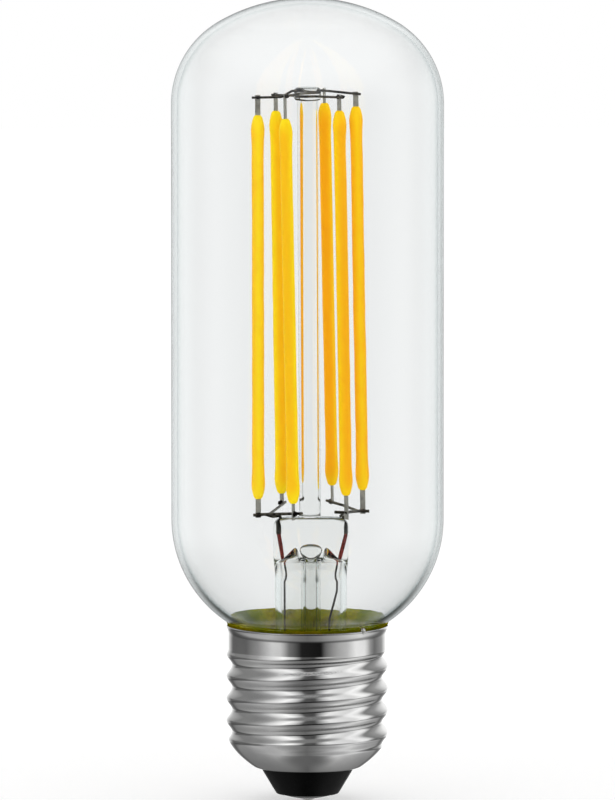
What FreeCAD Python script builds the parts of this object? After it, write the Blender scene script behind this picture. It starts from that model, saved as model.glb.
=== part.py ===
import FreeCAD, Part
import math
import os

# Tubular LED filament lamp with an E27 screw cap, in millimetres.
# The origin is the lowest point of the centre contact, on the lamp's axis, and +Z runs up to the dome.
# The lamp is seen from -Y, with +X to the right.

# Glass envelope
overall_length = 130.2
tube_radius = 22.0
glass_wall = 0.9
crown_radius = 28.66
shoulder_radius = 15.28
bowl_radius = 20.0
bowl_z = 45.8
neck_radius = 11.0
neck_fillet = 3.0
neck_z = 20.5

# Glass stem, which is sealed in a little off the lamp's axis
stem_x = 0.55
flare_radius = 5.8
flare_wall = 1.0
flare_bend = 3.7
flare_top = 36.0
press_width = 12.1
press_depth = 3.8
press_z = 41.0
press_top = 46.07
press_corner = 1.5
cavity_side_z = 38.2
cavity_top_z = 40.0
exhaust_radius = 1.6
exhaust_bore = 0.85
exhaust_tip_z = 14.6
rod_radius = 1.725
rod_base_x = 0.4
rod_neck_z = 113.7
button_radius = 2.2
button_top = 115.8
button_round = 0.6

# Filament cage. Filaments 1 to 3 form the left string and 4 to 6 the right one.
# Each filament has its angle round the cage, and the places on X of its top and bottom end.
filament_places = {
    1: (188.0, -8.01, -7.95),
    2: (128.0, -5.14, -4.20),
    3: (247.0, -3.54, -2.29),
    4: (69.0, 2.76, 4.00),
    5: (308.0, 5.09, 6.20),
    6: (8.0, 7.80, 8.90),
}
upper_ring_radius = 8.15
lower_ring_radius = 8.5
left_string = (1, 2, 3)
left_filament_z = 49.2
right_filament_z = 50.4
filament_length = 62.2
filament_radius = 0.98
filament_bulge = 1.11
bulge_height = 2.3
filament_tip = 0.45

# Metal tabs at the ends of the filaments, with their flat sides facing round the cage
tab_width = 0.85
tab_thickness = 0.2
tab_embedded = 1.0
tab_overrun = 0.4

# Support and connecting wires
support_wire_radius = 0.2
bus_wire_radius = 0.25
branch_wire_radius = 0.22
left_lead_radius = 0.25
right_lead_radius = 0.22
seal_wire_radius = 0.2
outer_lead_radius = 0.18
wire_bend = 0.7
weld_sink = 0.06
inner_lead_end_z = 43.4
seal_wire_end_z = 38.0

# E27 screw cap
thread_pitch = 3.629
thread_crest_radius = 13.2
thread_root_radius = 12.3
left_crest_z = 9.38
thread_fade_z = 23.4
band_z = 25.0
band_radius = 12.88
shell_sheet = 0.3
thread_start_z = 8.3
thread_full_z = 9.5
lip_z = 26.9
lip_step = 0.07
flare_end_z = 28.3
lip_radius = 13.2
shell_top = 28.6
shoulder_z = 5.4
shoulder_mouth = 7.9
mouth_radius = 7.6
shoulder_fillet = 2.06
shoulder_angle = 46.8
insulator_foot_radius = 5.1
insulator_foot_z = 1.14
insulator_top_z = 8.5
insulator_bore = 1.6
contact_radius = 4.75
contact_z = 0.24
contact_sag = 0.9
contact_sheet = 0.3
contact_hole = 0.7
solder_radius = 1.7
cement_top = 29.3
cement_bottom = 20.5

# Driver inside the cap
board_radius = 10.0
board_thickness = 0.8
side_lead_angle = -46.8
side_lead_radius = 0.15


def vec(x, y, z):
    return FreeCAD.Vector(x, y, z)


def polar(centre, radius, degrees):
    """Point of a section, on an arc about centre."""
    turn = math.radians(degrees)
    return (centre[0] + radius * math.cos(turn), centre[1] + radius * math.sin(turn))


def angle_from(centre, point):
    return math.degrees(math.atan2(point[1] - centre[1], point[0] - centre[0]))


def arc_step(centre, radius, start, end):
    """Step of a section: the arc from the angle start to the angle end."""
    return (polar(centre, radius, (start + end) / 2), polar(centre, radius, end))


def section(start, steps):
    """Closed face in the XZ plane. A step is an end point, or a pair of a point on an arc and its end."""
    edges = []
    here = vec(start[0], 0, start[1])
    for step in list(steps) + [start]:
        curved = isinstance(step[0], tuple)
        end = step[1] if curved else step
        there = vec(end[0], 0, end[1])
        if here.distanceToPoint(there) < 1e-6:
            continue
        if curved:
            edges.append(Part.Arc(here, vec(step[0][0], 0, step[0][1]), there).toShape())
        else:
            edges.append(Part.makeLine(here, there))
        here = there
    return Part.Face(Part.Wire(edges))


def turned(start, steps):
    """Solid of revolution about Z."""
    return section(start, steps).revolve(vec(0, 0, 0), vec(0, 0, 1), 360)


def turned_about(x, start, steps):
    """Solid of revolution about an upright axis at the place x."""
    solid = turned(start, steps)
    solid.translate(vec(x, 0, 0))
    return solid


def rounded_path(points, bend):
    """Wire of straight runs joined by tangent arcs of about the radius bend."""
    edges = []
    here = points[0]
    for before, corner, after in zip(points, points[1:], points[2:]):
        back = before - corner
        on = after - corner
        shorter = min(back.Length, on.Length)
        back.normalize()
        on.normalize()
        half_turn = (math.pi - back.getAngle(on)) / 2
        reach = min(bend * math.tan(half_turn), 0.45 * shorter)
        radius = reach / math.tan(half_turn)
        start = corner + back * reach
        end = corner + on * reach
        inward = back + on
        inward.normalize()
        middle = corner + inward * (radius / math.cos(half_turn) - radius)
        edges.append(Part.makeLine(here, start))
        edges.append(Part.Arc(start, middle, end).toShape())
        here = end
    edges.append(Part.makeLine(here, points[-1]))
    return Part.Wire(edges)


def round_wire(points, radius, bend=wire_bend):
    """Round metal wire along straight runs joined by arcs."""
    path = rounded_path(points, bend)
    ring = Part.Wire(Part.makeCircle(radius, points[0], points[1] - points[0]))
    return path.makePipeShell([ring], True, False)


def cut_by(shape, *others):
    for other in others:
        shape = shape.cut(other)
    return shape


def envelope_solid(inset, bottom):
    """The blown tube as a full solid, its wall moved in by inset, cut off at the height bottom."""
    bowl = (tube_radius - bowl_radius, bowl_z)
    fillet_x = neck_radius + neck_fillet
    centres_apart = bowl_radius + neck_fillet
    fillet = (fillet_x, bowl_z - math.sqrt(centres_apart**2 - (fillet_x - bowl[0]) ** 2))
    shoulder_x = tube_radius - shoulder_radius
    crown = (0.0, overall_length - crown_radius)
    centres_apart = crown_radius - shoulder_radius
    shoulder = (shoulder_x, crown[1] + math.sqrt(centres_apart**2 - shoulder_x**2))
    neck_turn = angle_from(fillet, bowl)
    dome_turn = angle_from(crown, shoulder)
    return turned(
        (0.0, bottom),
        [
            (neck_radius - inset, bottom),
            (neck_radius - inset, fillet[1]),
            arc_step(fillet, neck_fillet + inset, 180, neck_turn),
            arc_step(bowl, bowl_radius - inset, neck_turn - 180, 0),
            (tube_radius - inset, shoulder[1]),
            arc_step(shoulder, shoulder_radius - inset, 0, dome_turn),
            arc_step(crown, crown_radius - inset, dome_turn, 90),
        ],
    )


def stadium(width, depth, z, x):
    """Closed wire of two straight sides and two round ends."""
    end = depth / 2
    side = width / 2 - end
    corners = [vec(x + side, -end, z), vec(x + side, end, z), vec(x - side, end, z), vec(x - side, -end, z)]
    right = Part.Arc(corners[0], vec(x + width / 2, 0, z), corners[1]).toShape()
    back = Part.makeLine(corners[1], corners[2])
    left = Part.Arc(corners[2], vec(x - width / 2, 0, z), corners[3]).toShape()
    front = Part.makeLine(corners[3], corners[0])
    return Part.Wire([right, back, left, front])


def split_circle(radius, z, x):
    """Circle in four arcs that match the edges of the stadium wire."""
    turns = [-60, 60, 120, 240, 300]
    edges = []
    for start, end in zip(turns, turns[1:]):
        places = [math.radians(start), math.radians((start + end) / 2), math.radians(end)]
        points = [vec(x + radius * math.cos(turn), radius * math.sin(turn), z) for turn in places]
        edges.append(Part.Arc(*points).toShape())
    return Part.Wire(edges)


def front_slab(start, steps, depth):
    """Section drawn in the front view, made into a slab that is centred on the axis."""
    slab = section(start, steps).extrude(vec(0, 2 * depth, 0))
    slab.translate(vec(0, -depth, 0))
    return slab


def flare_outside():
    """Full solid of the stem's trumpet, tube and flattened press."""
    bend = (flare_radius + flare_bend, neck_z + flare_bend)
    flange_z = neck_z - flare_wall
    trumpet = turned_about(
        stem_x,
        (0.0, flange_z),
        [
            (neck_radius, flange_z),
            (neck_radius, neck_z),
            (bend[0], neck_z),
            arc_step(bend, flare_bend, 270, 180),
            (flare_radius, flare_top),
            (0.0, flare_top),
        ],
    )
    squeeze = Part.makeLoft(
        [split_circle(flare_radius, flare_top, stem_x), stadium(press_width, press_depth, press_z, stem_x)],
        True,
        False,
    )
    block = Part.Face(stadium(press_width, press_depth, press_z, stem_x))
    block = block.extrude(vec(0, 0, press_top - press_z))
    half = press_width / 2
    left_corner = (stem_x - half + press_corner, press_top - press_corner)
    right_corner = (stem_x + half - press_corner, press_top - press_corner)
    outline = front_slab(
        (stem_x - half, press_z),
        [
            (stem_x - half, left_corner[1]),
            arc_step(left_corner, press_corner, 180, 90),
            (right_corner[0], press_top),
            arc_step(right_corner, press_corner, 90, 0),
            (stem_x + half, press_z),
        ],
        press_depth,
    )
    return trumpet.fuse([squeeze, block.common(outline)]).removeSplitter()


def flare_inside():
    """The hollow of the stem: trumpet, tube and a shallow arched roof under the press."""
    bend = (flare_radius + flare_bend, neck_z + flare_bend)
    flange_z = neck_z - flare_wall
    bore = flare_radius - flare_wall
    trumpet = turned_about(
        stem_x,
        (0.0, flange_z - 1.0),
        [
            (bend[0], flange_z - 1.0),
            (bend[0], flange_z),
            arc_step(bend, flare_bend + flare_wall, 270, 180),
            (bore, flare_top),
            (0.0, flare_top),
        ],
    )
    squeeze = Part.makeLoft(
        [
            split_circle(bore, flare_top, stem_x),
            stadium(press_width - 2 * flare_wall, press_depth - 2 * 0.9, press_z, stem_x),
        ],
        True,
        False,
    )
    roof = front_slab(
        (stem_x - bore - 1.0, flare_top - 1.0),
        [
            (stem_x + bore + 1.0, flare_top - 1.0),
            (stem_x + bore + 1.0, cavity_side_z),
            (stem_x + bore, cavity_side_z),
            ((stem_x, cavity_top_z), (stem_x - bore, cavity_side_z)),
            (stem_x - bore - 1.0, cavity_side_z),
        ],
        tube_radius,
    )
    return trumpet.fuse(squeeze.common(roof)).removeSplitter()


def exhaust_tube_solid():
    """Thin tube with its lower end melted shut to a tip."""
    shut = exhaust_tip_z + 2.6
    top_z = cavity_top_z + 0.4
    return turned_about(
        stem_x,
        (0.0, exhaust_tip_z),
        [
            (0.3, exhaust_tip_z),
            ((exhaust_radius - 0.35, exhaust_tip_z + 1.0), (exhaust_radius, shut)),
            (exhaust_radius, top_z),
            (exhaust_bore, top_z),
            (exhaust_bore, shut),
            (0.0, shut - 1.2),
        ],
    )


def centre_rod_solid():
    """Solid glass rod with a flattened button at its top, leaning back to the lamp's axis."""
    swell = button_radius - rod_radius
    shoulder = (rod_radius, rod_neck_z + swell)
    crown = (button_radius - button_round, button_top - button_round)
    rod = turned(
        (0.0, press_top - 0.5),
        [
            (rod_radius, press_top - 0.5),
            (rod_radius, rod_neck_z),
            arc_step(shoulder, swell, 270, 360),
            (button_radius, crown[1]),
            arc_step(crown, button_round, 0, 90),
            (0.0, button_top),
        ],
    )
    lean = math.degrees(math.atan2(-rod_base_x, button_top - press_top))
    rod.rotate(vec(0, 0, press_top), vec(0, 1, 0), lean)
    rod.translate(vec(rod_base_x, 0, 0))
    return rod


def cage_place(number, upper):
    """Centre of a filament's end, with its outward and sideways directions."""
    degrees, top_x, bottom_x = filament_places[number]
    turn = math.radians(degrees)
    ring = upper_ring_radius if upper else lower_ring_radius
    base_z = left_filament_z if number in left_string else right_filament_z
    z = base_z + filament_length if upper else base_z
    centre = vec(top_x if upper else bottom_x, ring * math.sin(turn), z)
    outward = vec(math.cos(turn), math.sin(turn), 0)
    sideways = vec(-math.sin(turn), math.cos(turn), 0)
    return centre, outward, sideways


def by_tab(number, upper, out, aside, z):
    """Point near a tab: the distances out and aside from its middle, at the height z."""
    centre, outward, sideways = cage_place(number, upper)
    point = centre + outward * out + sideways * aside
    return vec(point.x, point.y, z)


def filament_frame(number):
    """Placement whose Z runs up the filament and whose X points outward from the cage."""
    low = cage_place(number, False)[0]
    high = cage_place(number, True)[0]
    upright = FreeCAD.Rotation(vec(0, 0, 1), high - low)
    facing = FreeCAD.Rotation(vec(0, 0, 1), filament_places[number][0])
    return FreeCAD.Placement(low, upright.multiply(facing))


def filament_coating(number):
    """Round strip of yellow phosphor that swells before each rounded end."""
    low = cage_place(number, False)[0]
    length = (cage_place(number, True)[0] - low).Length
    lower_end = [
        (filament_tip, 0.0),
        (filament_bulge - 0.25, 0.75),
        (filament_bulge, bulge_height),
        (filament_bulge - 0.08, bulge_height + 1.6),
        (filament_radius, bulge_height + 3.4),
    ]
    upper_end = [(radius, length - z) for radius, z in reversed(lower_end)]
    low_curve = Part.BSplineCurve()
    low_curve.interpolate([vec(radius, 0, z) for radius, z in lower_end])
    high_curve = Part.BSplineCurve()
    high_curve.interpolate([vec(radius, 0, z) for radius, z in upper_end])
    edges = [
        Part.makeLine(vec(0, 0, 0), vec(filament_tip, 0, 0)),
        low_curve.toShape(),
        Part.makeLine(vec(filament_radius, 0, lower_end[-1][1]), vec(filament_radius, 0, upper_end[0][1])),
        high_curve.toShape(),
        Part.makeLine(vec(filament_tip, 0, length), vec(0, 0, length)),
        Part.makeLine(vec(0, 0, length), vec(0, 0, 0)),
    ]
    coating = Part.Face(Part.Wire(edges)).revolve(vec(0, 0, 0), vec(0, 0, 1), 360)
    coating.Placement = filament_frame(number)
    return coating


def tab(number, upper, end_z):
    """Flat strip that starts inside the coating and ends at the height end_z."""
    base = cage_place(number, upper)[0]
    reach = abs(end_z - base.z) + tab_embedded
    corner = vec(-tab_width / 2, -tab_thickness / 2, 0)
    strip = Part.makeBox(tab_width, tab_thickness, reach, corner)
    length = (cage_place(number, True)[0] - cage_place(number, False)[0]).Length
    strip.translate(vec(0, 0, length - tab_embedded if upper else tab_embedded - reach))
    strip.Placement = filament_frame(number).multiply(strip.Placement)
    return strip


def along_line(start, end, share, z):
    point = start + (end - start) * share
    return vec(point.x, point.y, z)


def support_wires():
    """Three wires that cross in the button, each between two opposite filaments."""
    face = tab_thickness / 2 + support_wire_radius - weld_sink
    heights = upper_wire_heights
    first = by_tab(1, True, 1.0, face, heights[1])
    last = by_tab(6, True, 0.75, -face, heights[6])
    raised = 115.28
    kinked = [
        first,
        along_line(first, last, 0.27, heights[1] + 0.05),
        along_line(first, last, 0.37, raised),
        along_line(first, last, 0.66, raised),
        last,
    ]
    wires = {"top_support_wire_1": round_wire(kinked, support_wire_radius)}
    for index, (back_end, front_end) in ((2, (2, 5)), (3, (4, 3))):
        ends = [
            by_tab(back_end, True, 0.7, face, heights[back_end]),
            by_tab(front_end, True, 0.9, -face, heights[front_end]),
        ]
        wires[f"top_support_wire_{index}"] = round_wire(ends, support_wire_radius)
    return wires


def lower_wires():
    """Two bus wires that tie the front filaments, with a branch from each to the filament behind."""
    face = tab_thickness / 2 + bus_wire_radius - weld_sink
    edge = tab_width / 2 + bus_wire_radius - weld_sink
    branch_edge = tab_width / 2 + branch_wire_radius - weld_sink
    heights = lower_wire_heights

    left_corner = by_tab(1, False, -0.65, face, heights[1] + 0.1)
    at_third = by_tab(3, False, -edge, 0.0, heights[3])
    past_third = at_third + (at_third - left_corner) * 0.22
    left_bus = [by_tab(1, False, 0.85, face, heights[1]), left_corner, past_third]

    right_corner = by_tab(6, False, -0.45, -face, heights[6] + 0.05)
    at_fifth = by_tab(5, False, -edge, 0.0, heights[5])
    past_fifth = at_fifth + (at_fifth - right_corner) * 0.08
    right_bus = [
        by_tab(6, False, 1.05, -face, heights[6]),
        right_corner,
        past_fifth,
        past_fifth + vec(-1.25, -0.45, 0.1),
    ]

    left_root = left_corner + (past_third - left_corner) * 0.17
    at_second = by_tab(2, False, -branch_edge, 0.0, heights[2])
    left_branch = [left_root, at_second + (at_second - left_root) * 0.1]

    right_root = right_corner + (at_fifth - right_corner) * 0.09
    at_fourth = by_tab(4, False, -branch_edge, 0.0, heights[4])
    bent = vec(5.75, 5.0, 47.45)
    right_branch = [right_root, bent, at_fourth + (at_fourth - bent) * 0.35]

    left_start = left_corner + (past_third - left_corner) * 0.07
    left_lead = [
        left_start,
        vec(-5.6, -1.25, 46.34),
        vec(left_lead_x, 0, 46.34),
        vec(left_lead_x, 0, inner_lead_end_z),
    ]
    right_lead = [
        at_fifth + vec(0.05, 0.1, 0),
        vec(5.3, -3.0, 46.62),
        vec(right_lead_x, 0, 46.56),
        vec(right_lead_x, 0, inner_lead_end_z),
    ]
    wires = {
        "left_bus_wire": round_wire(left_bus, bus_wire_radius),
        "right_bus_wire": round_wire(right_bus, bus_wire_radius),
    }
    joined = {
        "left_branch_wire": (left_branch, branch_wire_radius, "left_bus_wire"),
        "right_branch_wire": (right_branch, branch_wire_radius, "right_bus_wire"),
        "left_inner_lead": (left_lead, left_lead_radius, "left_bus_wire"),
        "right_inner_lead": (right_lead, right_lead_radius, "right_bus_wire"),
    }
    for name, (points, radius, carrier) in joined.items():
        wires[name] = round_wire(points, radius, 0.5).cut(wires[carrier])
    return wires


def stem_leads(cage):
    """Red seal wires in the press and copper leads from there down to the driver board."""
    board_z = insulator_top_z
    left_exit = vec(-3.8, 0, seal_wire_end_z)
    right_exit = vec(4.9, 0, seal_wire_end_z)
    left_seal = [vec(left_lead_x, 0, inner_lead_end_z), left_exit]
    right_seal = [vec(right_lead_x, 0, inner_lead_end_z), right_exit]
    left_outer = [left_exit, vec(-3.75, 0, 34.0), vec(-3.75, 0, board_z)]
    right_outer = [
        right_exit,
        vec(4.8, 0, 34.0),
        vec(3.6, 0, 29.5),
        vec(3.4, 0, 21.0),
        vec(3.4, 0, board_z),
    ]
    wires = {}
    for side, seal, outer in (("left", left_seal, left_outer), ("right", right_seal, right_outer)):
        inner_lead = cage[f"{side}_inner_lead"]
        wires[f"{side}_outer_lead"] = round_wire(outer, outer_lead_radius)
        seal_wire = round_wire(seal, seal_wire_radius)
        wires[f"{side}_seal_wire"] = cut_by(seal_wire, inner_lead, wires[f"{side}_outer_lead"])
    return wires


def smooth_step(value):
    value = min(max(value, 0.0), 1.0)
    return value * value * (3.0 - 2.0 * value)


def shoulder_fillet_centre():
    return (shoulder_mouth, shoulder_z + shoulder_fillet)


def cone_radius(z, inset):
    """Radius of the cone under the thread at the height z, its wall moved in by inset."""
    start = polar(shoulder_fillet_centre(), shoulder_fillet - inset, shoulder_angle - 90)
    return start[0] + (z - start[1]) / math.tan(math.radians(shoulder_angle))


def rolled_solid(inset):
    """Solid inside the rolled wall, from the mouth of the cone up through the thread to the plain band.

    The wall is one cubic spline surface, closed round the cap. Its poles lie a little outside the thread,
    because such a surface cuts inside the polygon of its poles.
    """
    turns = 20
    rows_per_pitch = 6
    degree = 3
    middle = (thread_crest_radius + thread_root_radius) / 2
    amplitude = (thread_crest_radius - thread_root_radius) / 2
    round_loss = (2 + math.cos(2 * math.pi / turns)) / 3
    wave_loss = (2 + math.cos(2 * math.pi / rows_per_pitch)) / 3
    wave_loss *= (1 + (2 + math.cos(4 * math.pi / turns)) / 3) / 2
    fillet = shoulder_fillet_centre()
    fillet_steps = 3
    rows = []
    for index in range(fillet_steps + 1):
        turn = -90 + shoulder_angle * index / fillet_steps
        radius, z = polar(fillet, shoulder_fillet - inset, turn)
        rows.append((z, radius, 0.0))
    cone_z = rows[-1][0]
    steps = round((lip_z - cone_z) * rows_per_pitch / thread_pitch)
    for index in range(1, steps + 1):
        z = cone_z + (lip_z - cone_z) * index / steps
        plain = smooth_step((band_z - z) / (band_z - thread_fade_z))
        wall = middle * plain + band_radius * (1 - plain) - inset
        weight = plain * smooth_step((z - thread_start_z) / (thread_full_z - thread_start_z))
        rows.append((z, min(wall, cone_radius(z, inset)), weight))
    poles = []
    for turn_index in range(turns):
        turn = 2 * math.pi * turn_index / turns
        column = []
        for z, wall, weight in rows:
            wave = math.cos(2 * math.pi * (z - left_crest_z) / thread_pitch - (turn - math.pi))
            radius = wall / round_loss + amplitude * weight * wave / wave_loss
            column.append(vec(radius * math.cos(turn), radius * math.sin(turn), z))
        poles.append(column)
    spans = len(rows) - degree
    surface = Part.BSplineSurface()
    surface.buildFromPolesMultsKnots(
        poles,
        [1] * (turns + 1),
        [degree + 1] + [1] * (spans - 1) + [degree + 1],
        [float(index) for index in range(turns + 1)],
        [float(index) for index in range(spans + 1)],
        True,
        False,
        degree,
        degree,
    )
    faces = [surface.toShape()]
    for end in (0.0, float(spans)):
        faces.append(Part.Face(Part.Wire(surface.vIso(end).toShape())))
    joined = Part.makeShell(faces)
    joined.sewShape()
    return Part.Solid(joined)


def lip_solid(inset, top):
    """Full solid inside the flared rim, its wall moved in by inset."""
    foot = band_radius + lip_step - inset
    return turned(
        (0.0, lip_z),
        [
            (foot, lip_z),
            (lip_radius - inset, flare_end_z),
            (lip_radius - inset, top),
            (0.0, top),
        ],
    )


def cap_space():
    """The hollow inside the screw shell."""
    return rolled_solid(shell_sheet).fuse(lip_solid(shell_sheet, shell_top + 0.2))


def screw_shell_solid():
    mouth = Part.makeCylinder(mouth_radius, 2.0, vec(0, 0, shoulder_z - 1.0))
    outside = rolled_solid(0.0).fuse(lip_solid(0.0, shell_top))
    return cut_by(outside, cap_space(), mouth)


def contact_arc(inset):
    """Centre and radius of the contact's dome."""
    radius = (contact_radius**2 + contact_sag**2) / (2 * contact_sag)
    return (0.0, contact_z + radius), radius - inset


def dome_turn(centre, radius, x):
    """Angle at which the lower half of a dome's arc reaches the place x."""
    return -math.degrees(math.acos((x - centre[0]) / radius))


def insulator_solid():
    """Black moulded insulator, a cone below the shell and a plug inside it, with a bore for the lead."""
    fillet = shoulder_fillet_centre()
    plug_radius = cone_radius(insulator_top_z, shell_sheet)
    dome, radius = contact_arc(contact_sheet)
    edge_turn = dome_turn(dome, radius, contact_radius)
    bore_turn = dome_turn(dome, radius, insulator_bore)
    return turned(
        polar(dome, radius, bore_turn),
        [
            arc_step(dome, radius, bore_turn, edge_turn),
            (contact_radius, insulator_foot_z),
            (insulator_foot_radius, insulator_foot_z),
            (mouth_radius, shoulder_z),
            (mouth_radius, shoulder_z + shell_sheet),
            (shoulder_mouth, shoulder_z + shell_sheet),
            arc_step(fillet, shoulder_fillet - shell_sheet, -90, shoulder_angle - 90),
            (plug_radius, insulator_top_z),
            (insulator_bore, insulator_top_z),
        ],
    )


def contact_solid():
    """Domed sheet disc with a hole for the soldered lead."""
    outer, outer_radius = contact_arc(0.0)
    inner, inner_radius = contact_arc(contact_sheet)
    hole_out = dome_turn(outer, outer_radius, contact_hole)
    edge_out = dome_turn(outer, outer_radius, contact_radius)
    hole_in = dome_turn(inner, inner_radius, contact_hole)
    edge_in = dome_turn(inner, inner_radius, contact_radius)
    return turned(
        polar(outer, outer_radius, hole_out),
        [
            arc_step(outer, outer_radius, hole_out, edge_out),
            polar(inner, inner_radius, edge_in),
            arc_step(inner, inner_radius, edge_in, hole_in),
        ],
    )


def contact_solder_solid():
    """Solder that fills the hole of the contact and stands a little below it."""
    height = contact_z + 0.12
    radius = (solder_radius**2 + height**2) / (2 * height)
    dome = (0.0, radius)
    return turned(
        (0.0, 0.0),
        [
            arc_step(dome, radius, -90, dome_turn(dome, radius, solder_radius)),
            (solder_radius, contact_z + 0.2),
            (contact_hole, contact_z + 0.45),
            (0.0, contact_z + 0.6),
        ],
    )


def cement_solid():
    """Ring of cement between neck and shell, squeezed out a little over the rim."""
    band_bore = band_radius - shell_sheet
    lip_bore = lip_radius - shell_sheet
    return turned(
        (neck_radius - 1.0, cement_bottom),
        [
            (thread_root_radius - shell_sheet - 0.05, cement_bottom),
            (thread_root_radius - shell_sheet - 0.05, band_z),
            (band_bore, band_z + 0.1),
            (band_bore, lip_z),
            (band_bore + lip_step, lip_z),
            (lip_bore, flare_end_z),
            (lip_bore, shell_top),
            (lip_bore + 0.12, shell_top),
            ((lip_bore + 0.17, shell_top + 0.4), (lip_bore - 0.05, cement_top)),
            (neck_radius - 1.0, cement_top),
        ],
    )


def around(radius, z):
    """Point at the azimuth of the side lead."""
    turn = math.radians(side_lead_angle)
    return vec(radius * math.cos(turn), radius * math.sin(turn), z)


def side_lead_wire():
    """Thin lead from the board, up between neck and shell, bent out over the rim."""
    points = [
        around(9.2, insulator_top_z),
        around(9.2, 13.0),
        around(11.65, 17.5),
        around(11.65, 26.3),
        around(12.3, 28.0),
        around(12.75, 28.8),
        around(13.3, 28.74),
    ]
    return round_wire(points, side_lead_radius, 0.6)


def side_solder_bead():
    bead = Part.makeSphere(0.42)
    bead.translate(around(13.12, shell_top + 0.08))
    return bead


def on_board(x, y, turn, shape):
    shape.rotate(vec(0, 0, 0), vec(0, 0, 1), turn)
    shape.translate(vec(x, y, insulator_top_z + board_thickness))
    return shape


def chip_package(length, width, height, legs, leg_width):
    """Moulded package that stands off the board on two rows of bent legs."""
    stand_off = 0.15
    foot = 0.7
    sheet = 0.2
    body = Part.makeBox(length, width, height, vec(-length / 2, -width / 2, stand_off))
    body = body.makeChamfer(0.2, [edge for edge in body.Edges if edge.CenterOfMass.z > height])
    spacing = length / legs
    parts = []
    for index in range(legs):
        x = (index - (legs - 1) / 2) * spacing - leg_width / 2
        for side in (-1, 1):
            y = side * width / 2
            knee = Part.makeBox(leg_width, sheet, height / 2, vec(x, y - (sheet if side < 0 else 0), 0))
            toe = Part.makeBox(leg_width, foot, sheet, vec(x, y if side > 0 else y - foot, 0))
            parts.extend([knee, toe])
    return body.fuse(parts).removeSplitter()


def capacitor_solid():
    """Aluminium can with a rolled groove above its foot and a rounded top edge."""
    radius = 3.15
    height = 7.6
    return turned(
        (0.0, 0.0),
        [
            (radius, 0.0),
            (radius, 1.0),
            ((radius - 0.3, 1.3), (radius, 1.6)),
            (radius, height - 0.4),
            ((radius - 0.12, height - 0.12), (radius - 0.4, height)),
            (0.0, height),
        ],
    )


def choke_solid():
    """Drum core with its winding between two flanges."""
    radius = 2.5
    return turned(
        (0.0, 0.0),
        [
            (radius, 0.0),
            (radius, 0.8),
            (radius - 0.25, 0.8),
            (radius - 0.25, 5.2),
            (radius, 5.2),
            (radius, 6.0),
            (0.0, 6.0),
        ],
    )


def resistor_solid():
    """Fusible resistor that hangs in the insulator's bore, with its lead down to the contact."""
    body_low = 2.4
    body_high = 7.4
    lead = 0.3
    body = 1.15
    return turned(
        (0.0, contact_z + 0.1),
        [
            (lead, contact_z + 0.1),
            (lead, body_low),
            (body - 0.3, body_low),
            ((body - 0.09, body_low + 0.09), (body, body_low + 0.3)),
            (body, body_high - 0.3),
            ((body - 0.09, body_high - 0.09), (body - 0.3, body_high)),
            (lead, body_high),
            (lead, insulator_top_z + board_thickness),
            (0.0, insulator_top_z + board_thickness),
        ],
    )


# Heights of the wires where they cross the tabs
upper_wire_heights = {1: 114.25, 2: 114.0, 3: 115.0, 4: 114.68, 5: 114.8, 6: 114.6}
lower_wire_heights = {1: 46.6, 2: 47.65, 3: 47.5, 4: 47.75, 5: 47.6, 6: 46.95}
lower_tab_ends = {1: 46.15, 2: 47.25, 3: 46.5, 4: 47.35, 5: 46.5, 6: 46.5}

# Where the leads enter the press
left_lead_x = -4.35
right_lead_x = 5.75

os.makedirs("parts", exist_ok=True)
nodes = {}

cage = lower_wires()
leads = stem_leads(cage)
supports = support_wires()

outside = flare_outside()
stem = outside.cut(flare_inside())
for name in ("left_inner_lead", "right_inner_lead"):
    stem = stem.cut(cage[name])
for name in ("left_seal_wire", "right_seal_wire"):
    stem = stem.cut(leads[name])

glass_outside = envelope_solid(0.0, neck_z)
nodes["glass_envelope"] = glass_outside.cut(envelope_solid(glass_wall, neck_z - 1.0))
nodes["stem_flare"] = stem
nodes["exhaust_tube"] = exhaust_tube_solid().cut(outside.cut(flare_inside()))
nodes["centre_rod"] = cut_by(centre_rod_solid(), outside, *supports.values())
nodes.update(supports)
nodes.update(cage)
nodes.update(leads)

for number in filament_places:
    upper = tab(number, True, upper_wire_heights[number] + tab_overrun)
    lower = tab(number, False, lower_tab_ends[number])
    nodes[f"filament_{number}"] = cut_by(filament_coating(number), upper, lower)
    nodes[f"upper_tab_{number}"] = cut_by(upper, *supports.values())
    nodes[f"lower_tab_{number}"] = cut_by(lower, *cage.values())

side_lead = side_lead_wire()
shell = screw_shell_solid()
resistor = resistor_solid()
contact = contact_solid()
board = Part.makeCylinder(board_radius, board_thickness, vec(0, 0, insulator_top_z))
side_lead = side_lead.cut(shell)
solder = cut_by(side_solder_bead(), shell, side_lead, glass_outside)

nodes["screw_shell"] = shell
nodes["cap_insulator"] = insulator_solid()
nodes["centre_contact"] = contact
nodes["contact_solder"] = cut_by(contact_solder_solid(), contact, resistor)
nodes["cap_cement"] = cut_by(cement_solid(), glass_outside, outside, side_lead, solder)
nodes["side_lead"] = side_lead
nodes["side_lead_solder"] = solder
nodes["driver_board"] = cut_by(
    board, resistor, side_lead, leads["left_outer_lead"], leads["right_outer_lead"]
)
nodes["bridge_rectifier"] = on_board(-4.2, -4.6, 0, chip_package(4.8, 3.4, 2.0, 2, 0.8))
nodes["driver_chip"] = on_board(4.0, 4.8, 0, chip_package(4.9, 3.4, 1.4, 4, 0.4))
nodes["smoothing_capacitor"] = on_board(-4.0, 5.0, 0, capacitor_solid())
nodes["filter_choke"] = on_board(4.2, -4.6, 0, choke_solid())
nodes["fusible_resistor"] = resistor

for name, shape in nodes.items():
    shape.exportStep(f"parts/{name}.step")
    print(name, "solids", len(shape.Solids), "valid", shape.isValid(), "volume", round(shape.Volume, 3))
print("nodes", len(nodes))
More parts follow.
